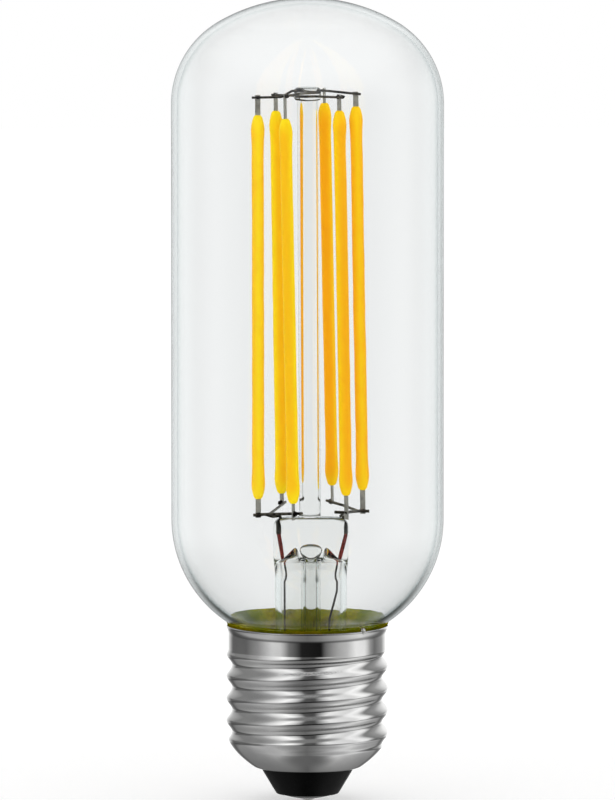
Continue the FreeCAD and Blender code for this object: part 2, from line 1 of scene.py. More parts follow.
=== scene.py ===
# %% [markdown]
# # A tubular filament lamp
# The lamp is a clear blown tube on a rolled screw cap, with six yellow light strips on a glass stem.
# The CAD model is loaded first as a fixed frame, so each piece made here lies where its solid lies.
# Glass and bright metal show every facet, so most solids are replaced by finer meshes of the same shape.

# %% Load the frame
import bmesh
import bpy
import math
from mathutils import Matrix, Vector, noise


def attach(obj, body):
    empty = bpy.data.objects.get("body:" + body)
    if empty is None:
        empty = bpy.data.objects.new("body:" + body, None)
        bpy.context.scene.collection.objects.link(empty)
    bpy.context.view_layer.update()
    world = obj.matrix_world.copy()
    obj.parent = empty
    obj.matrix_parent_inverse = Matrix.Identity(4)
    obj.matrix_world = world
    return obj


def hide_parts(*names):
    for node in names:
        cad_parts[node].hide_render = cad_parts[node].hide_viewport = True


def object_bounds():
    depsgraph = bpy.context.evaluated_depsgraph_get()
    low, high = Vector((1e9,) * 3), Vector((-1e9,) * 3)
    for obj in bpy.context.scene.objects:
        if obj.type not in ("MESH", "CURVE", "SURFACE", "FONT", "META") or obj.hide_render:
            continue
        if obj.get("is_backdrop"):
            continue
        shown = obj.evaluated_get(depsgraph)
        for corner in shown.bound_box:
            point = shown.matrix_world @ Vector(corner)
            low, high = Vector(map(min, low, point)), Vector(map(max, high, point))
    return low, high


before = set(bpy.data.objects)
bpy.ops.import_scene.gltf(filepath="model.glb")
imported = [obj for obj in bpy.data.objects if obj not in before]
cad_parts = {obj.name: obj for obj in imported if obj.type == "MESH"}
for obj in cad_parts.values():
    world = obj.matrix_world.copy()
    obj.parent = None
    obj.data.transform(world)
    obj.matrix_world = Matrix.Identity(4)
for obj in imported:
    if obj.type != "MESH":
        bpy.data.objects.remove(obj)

cad_low, cad_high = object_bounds()
scene = bpy.context.scene
scene.view_settings.view_transform = "Standard"
MM = 0.001
print("nodes in the frame:", len(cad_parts))

# %% [markdown]
# ## The camera
# A product photograph of a lamp is taken from far away with a long lens, which keeps the tube's sides
# parallel. The viewer looks about six degrees down, so the rim of the cap shows as a flat ellipse.
# The lens follows from the height of the view at the lamp and the sensor's long side of 36 mm.

# %% Camera at the photograph's angle
view_height = 129.2
view_centre_z = 65.1
camera_distance = 2500.0
camera_elevation = math.radians(6.2)

camera = bpy.data.objects.new("camera", bpy.data.cameras.new("camera"))
scene.collection.objects.link(camera)
scene.camera = camera
camera.data.lens = 36.0 * camera_distance / view_height
camera.data.clip_end = 100.0
camera.location = Vector(
    (
        0.0,
        -camera_distance * math.cos(camera_elevation),
        view_centre_z + camera_distance * math.sin(camera_elevation),
    )
) * MM
camera.rotation_euler = (math.pi / 2 - camera_elevation, 0.0, 0.0)
print("lens", round(camera.data.lens, 1), "mm")

# %% [markdown]
# ## Helpers for materials
# Colours are written as the hex values of a colour picker, which are sRGB. The renderer calculates in
# linear light, so one function turns each value. The function add makes one node. Its kind is written
# without the word ShaderNode, which all of them start with. An input that is a socket of another node
# is linked, an input that is a node is linked from the first output in use, and any other value is set.
# Two settings come back often: a Map Range that eases in and out, and a Mix that mixes colours.

# %% Colour and node helpers
def linear(hex_colour):
    """Linear RGBA of an sRGB hex colour."""
    channels = [int(hex_colour[index : index + 2], 16) / 255 for index in (1, 3, 5)]
    turned = [value / 12.92 if value <= 0.04045 else ((value + 0.055) / 1.055) ** 2.4 for value in channels]
    return (*turned, 1.0)


def grey(level):
    """Neutral linear colour of that brightness."""
    return (level, level, level, 1.0)


soft = {"interpolation_type": "SMOOTHSTEP"}
in_colour = {"data_type": "RGBA"}


def add(tree, kind, inputs=None, **settings):
    """New node of that kind in the tree."""
    node = tree.nodes.new("ShaderNode" + kind)
    for name, value in settings.items():
        setattr(node, name, value)
    for name, value in (inputs or {}).items():
        if isinstance(value, bpy.types.Node):
            value = next(socket for socket in value.outputs if socket.enabled)
        if isinstance(value, bpy.types.NodeSocket):
            tree.links.new(value, node.inputs[name])
        else:
            node.inputs[name].default_value = value
    return node


def new_finish(name):
    """Empty material, and its node tree."""
    material = bpy.data.materials.new(name)
    material.use_nodes = True
    material.node_tree.nodes.clear()
    return material, material.node_tree


def set_ramp(node, stops):
    """Gives a Color Ramp its stops, as pairs of a place and a linear colour or a grey level."""
    elements = node.color_ramp.elements
    while len(elements) > 1:
        elements.remove(elements[-1])
    for index, (place, colour) in enumerate(stops):
        element = elements[0] if index == 0 else elements.new(place)
        element.position = place
        element.color = colour if isinstance(colour, tuple) else grey(colour)


print("the middle grey #808080 is", round(linear("#808080")[0], 3), "in linear light")

# %% [markdown]
# ## The studio
# Bright nickel has no colour of its own to show: it shows the room. The room here is the world, and
# Color Ramps paint it by compass direction, one each for the table, the walls, what is higher up and the
# ceiling: soft light boxes left and right, a dark camera side, white far behind. Only rays that a
# metal reflects see that room. Lighting by ramps was chosen because a lamp hidden in glass is noisy.

# %% Light boxes for the metal
# Each stop is a compass direction in degrees, 0 at the camera and right positive, and a brightness.
table_stops = [
    (-180, 0.15), (-142, 0.32), (-122, 0.40), (-95, 0.60), (-62, 0.66), (-22, 0.30), (0, 0.20),
    (20, 0.30), (60, 0.66), (92, 1.05), (124, 0.60), (144, 0.44), (180, 0.15),
]
wall_stops = [
    (-180, 1.60), (-158, 0.90), (-139, 0.17), (-100, 0.18), (-76, 0.42), (-53, 0.97), (-40, 0.90),
    (-27, 0.25), (-9, 0.02), (20, 0.01), (27, 0.20), (45, 0.55), (60, 0.75), (75, 1.30), (92, 1.20),
    (104, 0.44), (114, 0.22), (136, 0.44), (152, 1.20), (165, 1.60), (180, 1.60),
]
high_stops = [
    (-180, 1.50), (-152, 0.60), (-128, 0.30), (-100, 0.34), (-78, 0.55), (-58, 1.10), (-36, 1.55),
    (-20, 0.90), (-8, 0.12), (10, 0.10), (20, 0.60), (34, 1.30), (58, 1.15), (72, 1.10), (86, 1.50),
    (98, 1.20), (110, 0.30), (128, 0.45), (150, 1.20), (180, 1.50),
]
ceiling_stops = [(-180, 0.28), (180, 0.28)]

world = bpy.data.worlds.new("studio")
scene.world = world
world.use_nodes = True
tree = world.node_tree
tree.nodes.clear()
direction = add(tree, "TexCoord")
right, away, up = add(tree, "SeparateXYZ", {0: direction.outputs["Generated"]}).outputs
to_camera = add(tree, "Math", {0: away, 1: -1.0}, operation="MULTIPLY")
compass = add(tree, "Math", {0: right, 1: to_camera}, operation="ARCTAN2")
along = add(tree, "MapRange", {"Value": compass, "From Min": -math.pi, "From Max": math.pi})
room = grey(0.18)
for stops, low, high in (
    (table_stops, -0.999, -0.90),
    (wall_stops, -0.42, -0.22),
    (high_stops, 0.02, 0.16),
    (ceiling_stops, 0.82, 0.92),
):
    ramp = add(tree, "ValToRGB", {"Fac": along})
    set_ramp(ramp, [((degrees + 180) / 360, level) for degrees, level in stops])
    climb = add(tree, "MapRange", {"Value": up, "From Min": low, "From Max": high}, **soft)
    room = add(tree, "Mix", {"Factor": climb, 6: room, 7: ramp}, **in_colour)

# The gap between the table and the light boxes is dim all the way round.
by_height = add(tree, "MapRange", {"Value": up, "From Min": -1.0, "From Max": 1.0})
dimming = add(tree, "ValToRGB", {"Fac": by_height})
set_ramp(dimming, [(0.0, 1.0), (0.26, 1.0), (0.31, 0.40), (0.36, 0.40), (0.40, 1.0), (1.0, 1.0)])
room = add(tree, "Mix", {"Factor": 1.0, 6: room, 7: dimming}, **in_colour, blend_type="MULTIPLY")
print("studio painted for metal")

# %% [markdown]
# Clear glass also mirrors the room, but weakly, and a busy room would stripe it. Perfectly smooth glass
# sends singular rays, which Light Path tells apart from the rays of the slightly rough metal, so the
# glass gets a calm grey room with one soft box overhead. That gives the pale glow on the dome. A ray
# that was mirrored inside the bulb leaves it through the wall. It gets the same walls, but a bright far
# side, and a dim ceiling where the box would draw a hard white patch.

# %% Calm room for the glass
glass_stops = [
    (-180, 0.30), (-164, 0.80), (-150, 0.45), (-128, 0.55), (-85, 0.45), (-62, 0.20), (-46, 0.14),
    (-28, 0.03), (28, 0.02), (52, 0.05), (66, 0.30), (90, 0.60), (104, 0.50), (128, 0.42), (138, 0.20),
    (156, 0.20), (166, 0.80), (180, 0.30),
]
pale_green = (0.96, 1.0, 1.0, 1.0)
dark_table = (0.05, 0.055, 0.05, 1.0)
glass_walls = add(tree, "ValToRGB", {"Fac": along})
set_ramp(glass_walls, [((degrees + 180) / 360, level) for degrees, level in glass_stops])
above = add(tree, "MapRange", {"Value": up, "From Min": 0.1, "From Max": 0.8}, **soft)
with_box = add(tree, "Mix", {"Factor": above, 6: glass_walls, 7: grey(2.2)}, **in_colour)
far_side = add(tree, "MapRange", {"Value": away, "From Min": 0.35, "From Max": 0.8}, **soft)
bright_far_side = add(tree, "Mix", {"Factor": far_side, 6: glass_walls, 7: pale_green}, **in_colour)
without_box = add(tree, "Mix", {"Factor": above, 6: bright_far_side, 7: grey(0.28)}, **in_colour)
below = add(tree, "MapRange", {"Value": up, "From Min": -0.15, "From Max": -0.5}, **soft)
glass_room = add(tree, "Mix", {"Factor": below, 6: with_box, 7: dark_table}, **in_colour)
inner_room = add(tree, "Mix", {"Factor": below, 6: without_box, 7: dark_table}, **in_colour)
print("studio painted for glass")

# %% [markdown]
# The camera sees plain white behind the lamp, and so does a ray that has come straight through the thin
# tube, from any side. Light Path counts the surfaces that a ray has passed. More than four means that it
# has been through the thick stem too, and then it sees white only where it still runs fairly level.
# Turned up or down it sees a dim room, and that draws the dark lines inside thick glass. Matt surfaces
# are lit by one even level, so their colours come out about as they are written. Inside the bulb some
# of that light is lost in the glass on its way in, and the rays that carry it are raised to match.

# %% Which ray sees what
even_level = 0.95
inside_gain = 0.5
thin_glass_limit = 4.5
dim_green = (0.045, 0.06, 0.035, 1.0)

rays = add(tree, "LightPath")
for_gloss = add(
    tree, "Mix", {"Factor": rays.outputs["Is Singular Ray"], 6: room, 7: glass_room}, **in_colour
)
for_matt = add(
    tree, "Mix", {"Factor": rays.outputs["Is Glossy Ray"], 6: grey(even_level), 7: for_gloss}, **in_colour
)
thick_glass = add(
    tree, "Math", {0: rays.outputs["Transmission Depth"], 1: thin_glass_limit}, operation="GREATER_THAN"
)
mirrored = add(tree, "Math", {0: rays.outputs["Glossy Depth"], 1: 1.0}, operation="MINIMUM")
not_low = add(tree, "MapRange", {"Value": up, "From Min": -0.75, "From Max": -0.25}, **soft)
not_high = add(tree, "MapRange", {"Value": up, "From Min": 0.45, "From Max": 0.12}, **soft)
band = add(tree, "Math", {0: not_high, 1: not_low}, operation="MULTIPLY")
level_white = add(tree, "Mix", {"Factor": band, 6: dim_green, 7: grey(1.0)}, **in_colour)
for_straight = add(tree, "Mix", {"Factor": thick_glass, 6: grey(1.0), 7: level_white}, **in_colour)
for_clear = add(tree, "Mix", {"Factor": mirrored, 6: for_straight, 7: inner_room}, **in_colour)
after_matt = add(tree, "Math", {0: rays.outputs["Diffuse Depth"], 1: 1.0}, operation="MINIMUM")
for_inside = add(tree, "Mix", {"Factor": after_matt, 6: for_clear, 7: grey(1.0 + inside_gain)}, **in_colour)
for_through = add(
    tree, "Mix", {"Factor": rays.outputs["Is Transmission Ray"], 6: for_matt, 7: for_inside}, **in_colour
)
for_eye = add(
    tree, "Mix", {"Factor": rays.outputs["Is Camera Ray"], 6: for_through, 7: grey(1.0)}, **in_colour
)
light = add(tree, "Background", {"Color": for_eye, "Strength": 1.0})
add(tree, "OutputWorld", {"Surface": light})
print("world ready")

# %% [markdown]
# ## Mesh helpers
# Almost every part of a lamp is turned, drawn or rolled, so its surface is a row of rings. One function
# joins rings into a skin, and another makes the rings of a turned part from its profile. All lengths
# are in millimetres, as on a workshop drawing, and become metres only when the mesh is built.

# %% Skin through rings
def build(name, points, faces, sharp=35.0):
    """Smooth mesh object. Edges that turn by more than the angle sharp stay crisp."""
    mesh = bpy.data.meshes.new(name)
    mesh.from_pydata([(x * MM, y * MM, z * MM) for x, y, z in points], [], faces)
    work = bmesh.new()
    work.from_mesh(mesh)
    bmesh.ops.recalc_face_normals(work, faces=work.faces)
    work.to_mesh(mesh)
    work.free()
    mesh.shade_smooth()
    mesh.set_sharp_from_angle(angle=math.radians(sharp))
    piece = bpy.data.objects.new(name, mesh)
    scene.collection.objects.link(piece)
    return piece


def skin(name, rings, start=None, end=None, loop=False, sharp=35.0):
    """Surface through rings. start and end are points that close it, and loop joins last to first."""
    count = len(rings[0])
    points = [point for ring in rings for point in ring]
    pairs = list(zip(range(len(rings)), range(1, len(rings))))
    if loop:
        pairs.append((len(rings) - 1, 0))
    faces = []
    for low, high in pairs:
        for here in range(count):
            there = (here + 1) % count
            low_row = low * count
            high_row = high * count
            faces.append((low_row + here, low_row + there, high_row + there, high_row + here))
    for tip, row in ((start, 0), (end, (len(rings) - 1) * count)):
        if tip is not None:
            points.append(tip)
            faces.extend((row + here, row + (here + 1) % count, len(points) - 1) for here in range(count))
    return build(name, points, faces, sharp)


# %% [markdown]
# A turned part is given by its profile, a row of points with a radius and a height. Most profiles of a
# lamp are arcs that run into each other. One helper gives the points of an arc, and another the
# direction from its centre in which it has to stop to meet the next one.

# %% Turned parts and arcs
def around(count):
    """Angles of a full turn."""
    return [2 * math.pi * index / count for index in range(count)]


def turned_rings(profile, count, x=0.0):
    """Rings of a turned part about an upright axis at the place x."""
    return [[(x + r * math.cos(turn), r * math.sin(turn), z) for turn in around(count)] for r, z in profile]


def arc(centre, radius, start, end, steps):
    """Points of a profile on an arc, with its angles in degrees."""
    turns = [math.radians(start + (end - start) * index / steps) for index in range(steps + 1)]
    return [(centre[0] + radius * math.cos(turn), centre[1] + radius * math.sin(turn)) for turn in turns]


def angle_to(centre, point):
    """Direction from the centre to the point, in degrees."""
    return math.degrees(math.atan2(point[1] - centre[1], point[0] - centre[0]))


def smooth_step(value):
    """Eases in and out between 0 and 1."""
    value = min(max(value, 0.0), 1.0)
    return value * value * (3.0 - 2.0 * value)


quarter = arc((0.0, 0.0), 1.0, 0, 90, 3)
print("points of a quarter arc:", [(round(x, 2), round(y, 2)) for x, y in quarter])

# %% [markdown]
# Every finished piece gets its finish and rides on the lamp's one body. Those are hidden, and keep
# working in the simulation. The CAD solids that it stands for are hidden.

# %% Put a piece on the lamp
def fit(piece, finish, slot, *nodes):
    """Gives a piece its finish and its place on the lamp, and hides the CAD solids that it stands for."""
    piece.data.materials.append(finish)
    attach(piece, "root")
    if nodes:
        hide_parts(*nodes)
    if piece.type == "MESH":
        print(piece.name, "faces", len(piece.data.polygons))


# %% [markdown]
# ## Blown glass
# The tube is soda-lime glass, drawn and blown in a mould. It has an index of refraction of 1.52 and a
# perfectly smooth, fire-polished skin, so its roughness is zero. Head on it takes a few per cent of the
# light. At its outline the eye looks along the wall, and there it shows the glass's own grey-green.
# A Layer Weight node gives that tint at grazing angles, and a faint bump the slow waves of blown glass.

# %% Clear glass finish
def glass_finish(name, clear, edge, edge_start, wave_mm):
    """Clear glass with a tint where it is seen along its wall."""
    material, tree = new_finish(name)
    facing = add(tree, "LayerWeight", {"Blend": 0.5})
    ramp = add(tree, "ValToRGB", {"Fac": facing.outputs["Facing"]})
    ramp.color_ramp.interpolation = "EASE"
    set_ramp(ramp, [(0.0, linear(clear)), (edge_start, linear(clear)), (1.0, linear(edge))])
    place = add(tree, "TexCoord").outputs["Object"]
    waves = add(tree, "TexNoise", {"Vector": place, "Scale": 1000.0 / wave_mm, "Detail": 1.0})
    bump = add(tree, "Bump", {"Strength": 0.12, "Distance": 0.0004, "Height": waves})
    shader = add(tree, "BsdfPrincipled", {
        "Base Color": ramp,
        "Roughness": 0.0,
        "IOR": 1.52,
        "Transmission Weight": 1.0,
        "Normal": bump,
    })
    add(tree, "OutputMaterial", {"Surface": shader})
    return material


blown_glass = glass_finish("blown_soda_lime_glass", "#FDFEFE", "#567A7E", 0.72, 26.0)
stem_glass = glass_finish("pressed_stem_glass", "#FEFFFE", "#8FA096", 0.78, 9.0)
print("glass finishes ready")

# %% [markdown]
# ## The glass tube
# On the real lamp the tube is one bubble of glass 44 mm wide with a wall of 0.9 mm. Its profile is made
# of arcs that run into each other: a flat crown, a rounder shoulder, the side, the bowl and the neck.
# Both faces of the wall are built, because two faces give the double outline that real glass has.

# %% Glass tube with its two faces
overall_length = 130.2
tube_radius = 22.0
glass_wall = 0.9
crown_radius = 28.66
shoulder_radius = 15.28
bowl_radius = 20.0
bowl_z = 45.8
neck_radius = 11.0
neck_fillet = 3.0
neck_z = 20.5


def tube_profile(inset):
    """Profile of the tube from the crown down to the neck, its wall moved in by inset."""
    bowl = (tube_radius - bowl_radius, bowl_z)
    fillet_x = neck_radius + neck_fillet
    fillet_rise = math.sqrt((bowl_radius + neck_fillet) ** 2 - (fillet_x - bowl[0]) ** 2)
    fillet = (fillet_x, bowl_z - fillet_rise)
    crown = (0.0, overall_length - crown_radius)
    shoulder_x = tube_radius - shoulder_radius
    shoulder = (shoulder_x, crown[1] + math.sqrt((crown_radius - shoulder_radius) ** 2 - shoulder_x**2))
    dome_turn = angle_to(crown, shoulder)
    neck_turn = angle_to(fillet, bowl)
    profile = arc(crown, crown_radius - inset, 89.0, dome_turn, 22)
    profile += arc(shoulder, shoulder_radius - inset, dome_turn, 0, 30)[1:]
    profile += arc(bowl, bowl_radius - inset, 0, neck_turn - 180, 38)
    profile += arc(fillet, neck_fillet + inset, neck_turn, 180, 14)[1:]
    profile.append((neck_radius - inset, neck_z))
    return profile


outside = tube_profile(0.0)
inside = tube_profile(glass_wall)
tube = skin(
    "blown_tube",
    turned_rings(outside + inside[::-1], 192),
    start=(0.0, 0.0, overall_length),
    end=(0.0, 0.0, overall_length - glass_wall),
)
fit(tube, blown_glass, "clear_glass", "glass_envelope")

# %% [markdown]
# ## The glass stem
# The stem is one piece of glass, melted together from a trumpet, a thin exhaust tube inside it and the
# rod on top. The trumpet's foot is fused to the neck, and its top was squeezed flat in the flame round
# the two lead wires, which seals them in. One skin of rings is built for all of it, because two glass
# bodies that only touch would show a false mirror between them. Its rings change from a circle to the
# flat press as they climb, as the soft glass did. Two functions give such a ring: one walks round the
# flat shape with its rounded corners, and the other blends that with the circle, point by point.

# %% Rings between a circle and the press
stem_x = 0.55
flare_radius = 5.8
flare_wall = 1.0
flare_bend = 3.7
flare_top = 36.0
press_width = 12.1
press_depth = 3.8
press_z = 39.7
press_top = 46.07
press_corner = 1.5
press_side_round = 1.6
stem_turns = 192
flare_turns = 16


def press_point(width, depth, share):
    """Point at a share of the way round a flat shape with rounded corners."""
    corner = min(press_side_round, depth / 2 - 0.01)
    side = depth / 2 - corner
    bend_length = corner * math.pi / 2
    quarter = side + bend_length + width / 2 - corner
    step = share * 4
    quadrant = min(int(step), 3)
    travel = step - quadrant
    if quadrant % 2 == 1:
        travel = 1 - travel
    travel *= quarter
    if travel < side:
        x, y = width / 2, travel
    elif travel < side + bend_length:
        turn = (travel - side) / corner
        x, y = width / 2 - corner + corner * math.cos(turn), side + corner * math.sin(turn)
    else:
        x, y = width / 2 - corner - (travel - side - bend_length), depth / 2
    return (x if quadrant in (0, 3) else -x, y if quadrant < 2 else -y)


def stem_ring(radius, width, depth, flat, z):
    """Ring between a circle and the flat press. flat runs from 0, round, to 1, squeezed."""
    ring = []
    for index, turn in enumerate(around(stem_turns)):
        pressed = press_point(width, depth, index / stem_turns)
        x = radius * math.cos(turn) * (1 - flat) + pressed[0] * flat
        y = radius * math.sin(turn) * (1 - flat) + pressed[1] * flat
        ring.append((stem_x + x, y, z))
    return ring


half_squeezed = stem_ring(flare_radius, press_width, press_depth, 0.5, flare_top)
print("half squeezed, the stem reaches x =", round(half_squeezed[0][0], 2), "mm")

# %% [markdown]
# The outside is built from the foot upward: the flared foot, the trumpet, the squeeze from round to
# flat, and the rounded top of the press. The top thins towards its edge, because the flame drew it in.

# %% Trumpet and flattened press
bend = (flare_radius + flare_bend, neck_z + flare_bend)
foot_radius = neck_radius - 0.02
outer_rings = turned_rings([(foot_radius, neck_z - flare_wall), (foot_radius, neck_z)], stem_turns)
outer_rings += turned_rings(arc(bend, flare_bend, 268, 180, flare_turns), stem_turns, stem_x)
squeeze_steps = 24
for index in range(squeeze_steps + 1):
    share = index / squeeze_steps
    z = flare_top + (press_z - flare_top) * share
    outer_rings.append(stem_ring(flare_radius, press_width, press_depth, smooth_step(share), z))
rounding_steps = 12
for index in range(rounding_steps + 1):
    turn = math.pi / 2 * index / rounding_steps
    inset = press_corner * (1 - math.cos(turn))
    z = press_top - press_corner * (1 - math.sin(turn))
    depth_loss = 0.45 * max(0.0, 2 * index / rounding_steps - 1) ** 2
    outer_rings.append(stem_ring(0, press_width - 2 * inset, press_depth - 2 * depth_loss, 1.0, z))
print("rings of the trumpet and press", len(outer_rings))

# %% [markdown]
# The rod stands on the press and carries the filaments. Its top was pushed flat while it was soft, which
# left a button with the support wires frozen into it. The rod leans a little to one side.

# %% Centre rod with its button
rod_radius = 1.725
rod_base_x = 0.4
rod_neck_z = 113.7
button_radius = 2.2
button_top = 115.8
button_round = 0.6
swell = button_radius - rod_radius
rod_profile = [(rod_radius + 0.16, press_top + 0.06), (rod_radius + 0.04, press_top + 0.3)]
rod_profile += [(rod_radius, press_top + 0.7), (rod_radius, 80.0)]
rod_profile += arc((rod_radius, rod_neck_z + swell), swell, 270, 360, 6)
rod_profile += arc((button_radius - button_round, button_top - button_round), button_round, 0, 90, 8)
lean = rod_base_x / (button_top - press_top)
rod_rings = [
    [(x + rod_base_x - lean * (z - press_top), y, z) for x, y, z in ring]
    for ring in turned_rings(rod_profile, stem_turns)
]
plateau = outer_rings[-1]
for share in (0.35, 0.7):
    ring = []
    for here, there in zip(plateau, rod_rings[0]):
        ring.append(tuple(a + (b - a) * share for a, b in zip(here, there)))
    outer_rings.append(ring)
outer_rings += rod_rings
print("rings with the rod", len(outer_rings))

# %% [markdown]
# Inside, the hollow follows the outside at the thickness of the wall, up to the foot of the press.

# %% Hollow of the trumpet
roof_side_z = 38.7
inner_rings = turned_rings([(bend[0], neck_z - flare_wall)], stem_turns, stem_x)
inner_rings += turned_rings(arc(bend, flare_bend + flare_wall, 270, 180, flare_turns), stem_turns, stem_x)
roof_start = (roof_side_z - flare_top) / (press_z - flare_top)
bore_radius = flare_radius - flare_wall
bore_width = press_width - 2 * flare_wall
bore_depth = press_depth - 1.8
for index in range(13):
    share = roof_start * index / 12
    z = flare_top + (press_z - flare_top) * share
    inner_rings.append(stem_ring(bore_radius, bore_width, bore_depth, smooth_step(share), z))
wall_ring = inner_rings[-1]
print("hollow ends at", wall_ring[0][2], "mm")

# %% [markdown]
# The hollow ends under the press in a ring-shaped roof round the exhaust tube. Seen from the side this
# roof is two slanting leaves of glass, which mirror the dark cap below. Their long edges are cut at 45
# degrees, the slant that shows a viewer level with it what stands under it. The exhaust tube hangs from
# the roof, and its lower end is where the lamp was pumped out and melted shut.

# %% Roof and exhaust tube
exhaust_radius = 1.6
exhaust_tip_z = 14.6
shut_z = exhaust_tip_z + 2.6
roof_shape = [
    (0.0, 0.0), (0.1, 0.42), (0.2, 0.78), (0.32, 1.2), (0.43, 1.6), (0.54, 2.0), (0.64, 2.3), (0.71, 2.43),
    (0.77, 2.4), (0.83, 2.15), (0.88, 1.7), (0.92, 1.1), (0.96, 0.5), (1.0, 0.1),
]
reach = max(x for x, y, z in wall_ring) - stem_x
half_depth = max(y for x, y, z in wall_ring)
leaf_edge = 1.25


def roof_height(x, y):
    """Height of the roof above its foot. The long edges of its two leaves are cut at 45 degrees."""
    inward = (reach - abs(x - stem_x)) / (reach - exhaust_radius)
    crown = roof_shape[-1][1]
    for (start, low), (end, high) in zip(roof_shape, roof_shape[1:]):
        if start <= inward < end:
            crown = low + (high - low) * (inward - start) / (end - start)
    return max(0.02, min(crown, crown - leaf_edge + half_depth - abs(y)))


roof_rows = 40
for index in range(1, roof_rows + 1):
    share = index / roof_rows
    ring = []
    for (x, y, z), turn in zip(wall_ring, around(stem_turns)):
        roof_x = x + (stem_x + exhaust_radius * math.cos(turn) - x) * share
        roof_y = y + (exhaust_radius * math.sin(turn) - y) * share
        ring.append((roof_x, roof_y, z + roof_height(roof_x, roof_y)))
    inner_rings.append(ring)
tube_profile_points = [(exhaust_radius, 38.2), (exhaust_radius, 28.0), (exhaust_radius, shut_z)]
tube_profile_points += [(1.52, exhaust_tip_z + 1.9), (1.25, exhaust_tip_z + 1.0)]
tube_profile_points += [(0.8, exhaust_tip_z + 0.35), (0.3, exhaust_tip_z)]
inner_rings += turned_rings(tube_profile_points, stem_turns, stem_x)

stem = skin(
    "glass_stem",
    outer_rings[::-1] + inner_rings,
    start=(0.0, 0.0, button_top),
    end=(stem_x, 0.0, exhaust_tip_z),
    sharp=60.0,
)
fit(stem, stem_glass, "stem_glass", "stem_flare", "exhaust_tube", "centre_rod")

# %% [markdown]
# The bore of the exhaust tube is a hollow inside that glass, so its skin is turned inside out: for the
# renderer, the side that a face points to is the air. At its upper end the bore was blown out into a
# flat bubble, the hole that the air left the bulb through.

# %% Bore with its blown hole
bore_shape = [
    (0.4, 0.4, shut_z - 0.9), (0.85, 0.85, shut_z), (0.85, 0.85, 28.0), (0.85, 0.85, 38.4),
    (0.95, 0.85, 39.0), (1.25, 0.82, 39.45), (1.55, 0.72, 39.9), (1.78, 0.6, 40.4), (1.82, 0.52, 40.8),
    (1.66, 0.42, 41.2), (1.26, 0.3, 41.5), (0.64, 0.18, 41.68),
]
bore_rings = [
    [(stem_x + across * math.cos(turn), deep * math.sin(turn), z) for turn in around(96)]
    for across, deep, z in bore_shape
]
bore = skin(
    "exhaust_bore", bore_rings, start=(stem_x, 0.0, shut_z - 1.2), end=(stem_x, 0.0, 41.72), sharp=60.0
)
bore.data.flip_normals()
fit(bore, stem_glass, "stem_glass")

# %% [markdown]
# ## Phosphor strips
# Each filament is a row of blue light chips on a narrow strip, dipped in silicone that is full of yellow
# phosphor. The coating is satin and slightly see-through. Over the flat of the strip it is thick and
# looks orange, and at the two narrow edges it is thin and lemon yellow. The colour therefore follows
# the angle round the strip, which the mesh carries as an attribute, with fine grain from the powder.
# Phosphor turns part of the blue in daylight into yellow, so it looks brighter than yellow paint.
# A little emission of its own colour is a painted glow. It stands for that, and it also lifts the
# strips, which the light that passes the glass leaves too dim.

# %% Phosphor finish
def phosphor_finish(name, thin, thick, deep):
    """Yellow silicone coating, with the colours of its thin, thick and thickest places, and a painted glow
    of the same colours.
    """
    material, tree = new_finish(name)
    flat = add(tree, "Attribute", attribute_name="over_strip")
    place = add(tree, "TexCoord").outputs["Object"]
    clouds = add(tree, "TexNoise", {"Vector": place, "Scale": 1000.0 / 2.6, "Detail": 2.0})
    amount = add(tree, "Math", {0: clouds, 1: 0.9, 2: -0.45}, operation="MULTIPLY_ADD", use_clamp=True)
    shade = add(tree, "Math", {0: flat.outputs["Fac"], 1: amount}, operation="ADD", use_clamp=True)
    colour = add(tree, "ValToRGB", {"Fac": shade})
    set_ramp(colour, [(0.0, linear(thin)), (0.55, linear(thick)), (1.0, linear(deep))])
    grain = add(tree, "TexNoise", {"Vector": place, "Scale": 1000.0 / 0.25, "Detail": 2.0})
    bump = add(tree, "Bump", {"Strength": 0.35, "Distance": 0.00006, "Height": grain})
    shader = add(tree, "BsdfPrincipled", {
        "Base Color": colour,
        "Roughness": 0.5,
        "IOR": 1.41,
        "Specular IOR Level": 0.25,
        "Subsurface Weight": 0.2,
        "Subsurface Radius": (1.0, 0.7, 0.1),
        "Subsurface Scale": 0.0005,
        # Painted glow: a weak emission of the coating's own colour lifts the strips.
        "Emission Color": colour,
        "Emission Strength": 0.17,
        "Normal": bump,
    })
    add(tree, "OutputMaterial", {"Surface": shader})
    return material


lemon_phosphor = phosphor_finish("lemon_phosphor_silicone", "#FFDE08", "#FFCE04", "#FFC202")
orange_phosphor = phosphor_finish("orange_phosphor_silicone", "#FFD006", "#FFBE03", "#FFB302")
print("phosphor finishes ready")

# %% [markdown]
# The six strips stand in a ring and each faces outward. Each has its own angle round the cage and its
# own small lean, as hand-set filaments have. The welds further down are placed from the same values.

# %% Places of the strips
filament_places = {
    1: (188.0, -8.01, -7.95),
    2: (128.0, -5.14, -4.20),
    3: (247.0, -3.54, -2.29),
    4: (69.0, 2.76, 4.00),
    5: (308.0, 5.09, 6.20),
    6: (8.0, 7.80, 8.90),
}
upper_ring_radius = 8.15
lower_ring_radius = 8.5
left_string = (1, 2, 3)
left_filament_z = 49.2
right_filament_z = 50.4
filament_length = 62.2
wander_size = 0.05
unevenness = 0.035
end_shape = [
    (0.45, 0.0), (0.72, 0.3), (0.88, 0.85), (1.03, 1.5), (1.11, 2.3), (1.08, 3.2), (1.03, 3.9), (1.0, 4.8),
    (0.98, 5.7),
]


def cage_place(number, upper):
    """Centre of a strip's end, with its outward and sideways directions."""
    degrees, top_x, bottom_x = filament_places[number]
    turn = math.radians(degrees)
    ring = upper_ring_radius if upper else lower_ring_radius
    base_z = left_filament_z if number in left_string else right_filament_z
    centre = Vector(
        (top_x if upper else bottom_x, ring * math.sin(turn), base_z + (filament_length if upper else 0.0))
    )
    outward = Vector((math.cos(turn), math.sin(turn), 0.0))
    sideways = Vector((-math.sin(turn), math.cos(turn), 0.0))
    return centre, outward, sideways


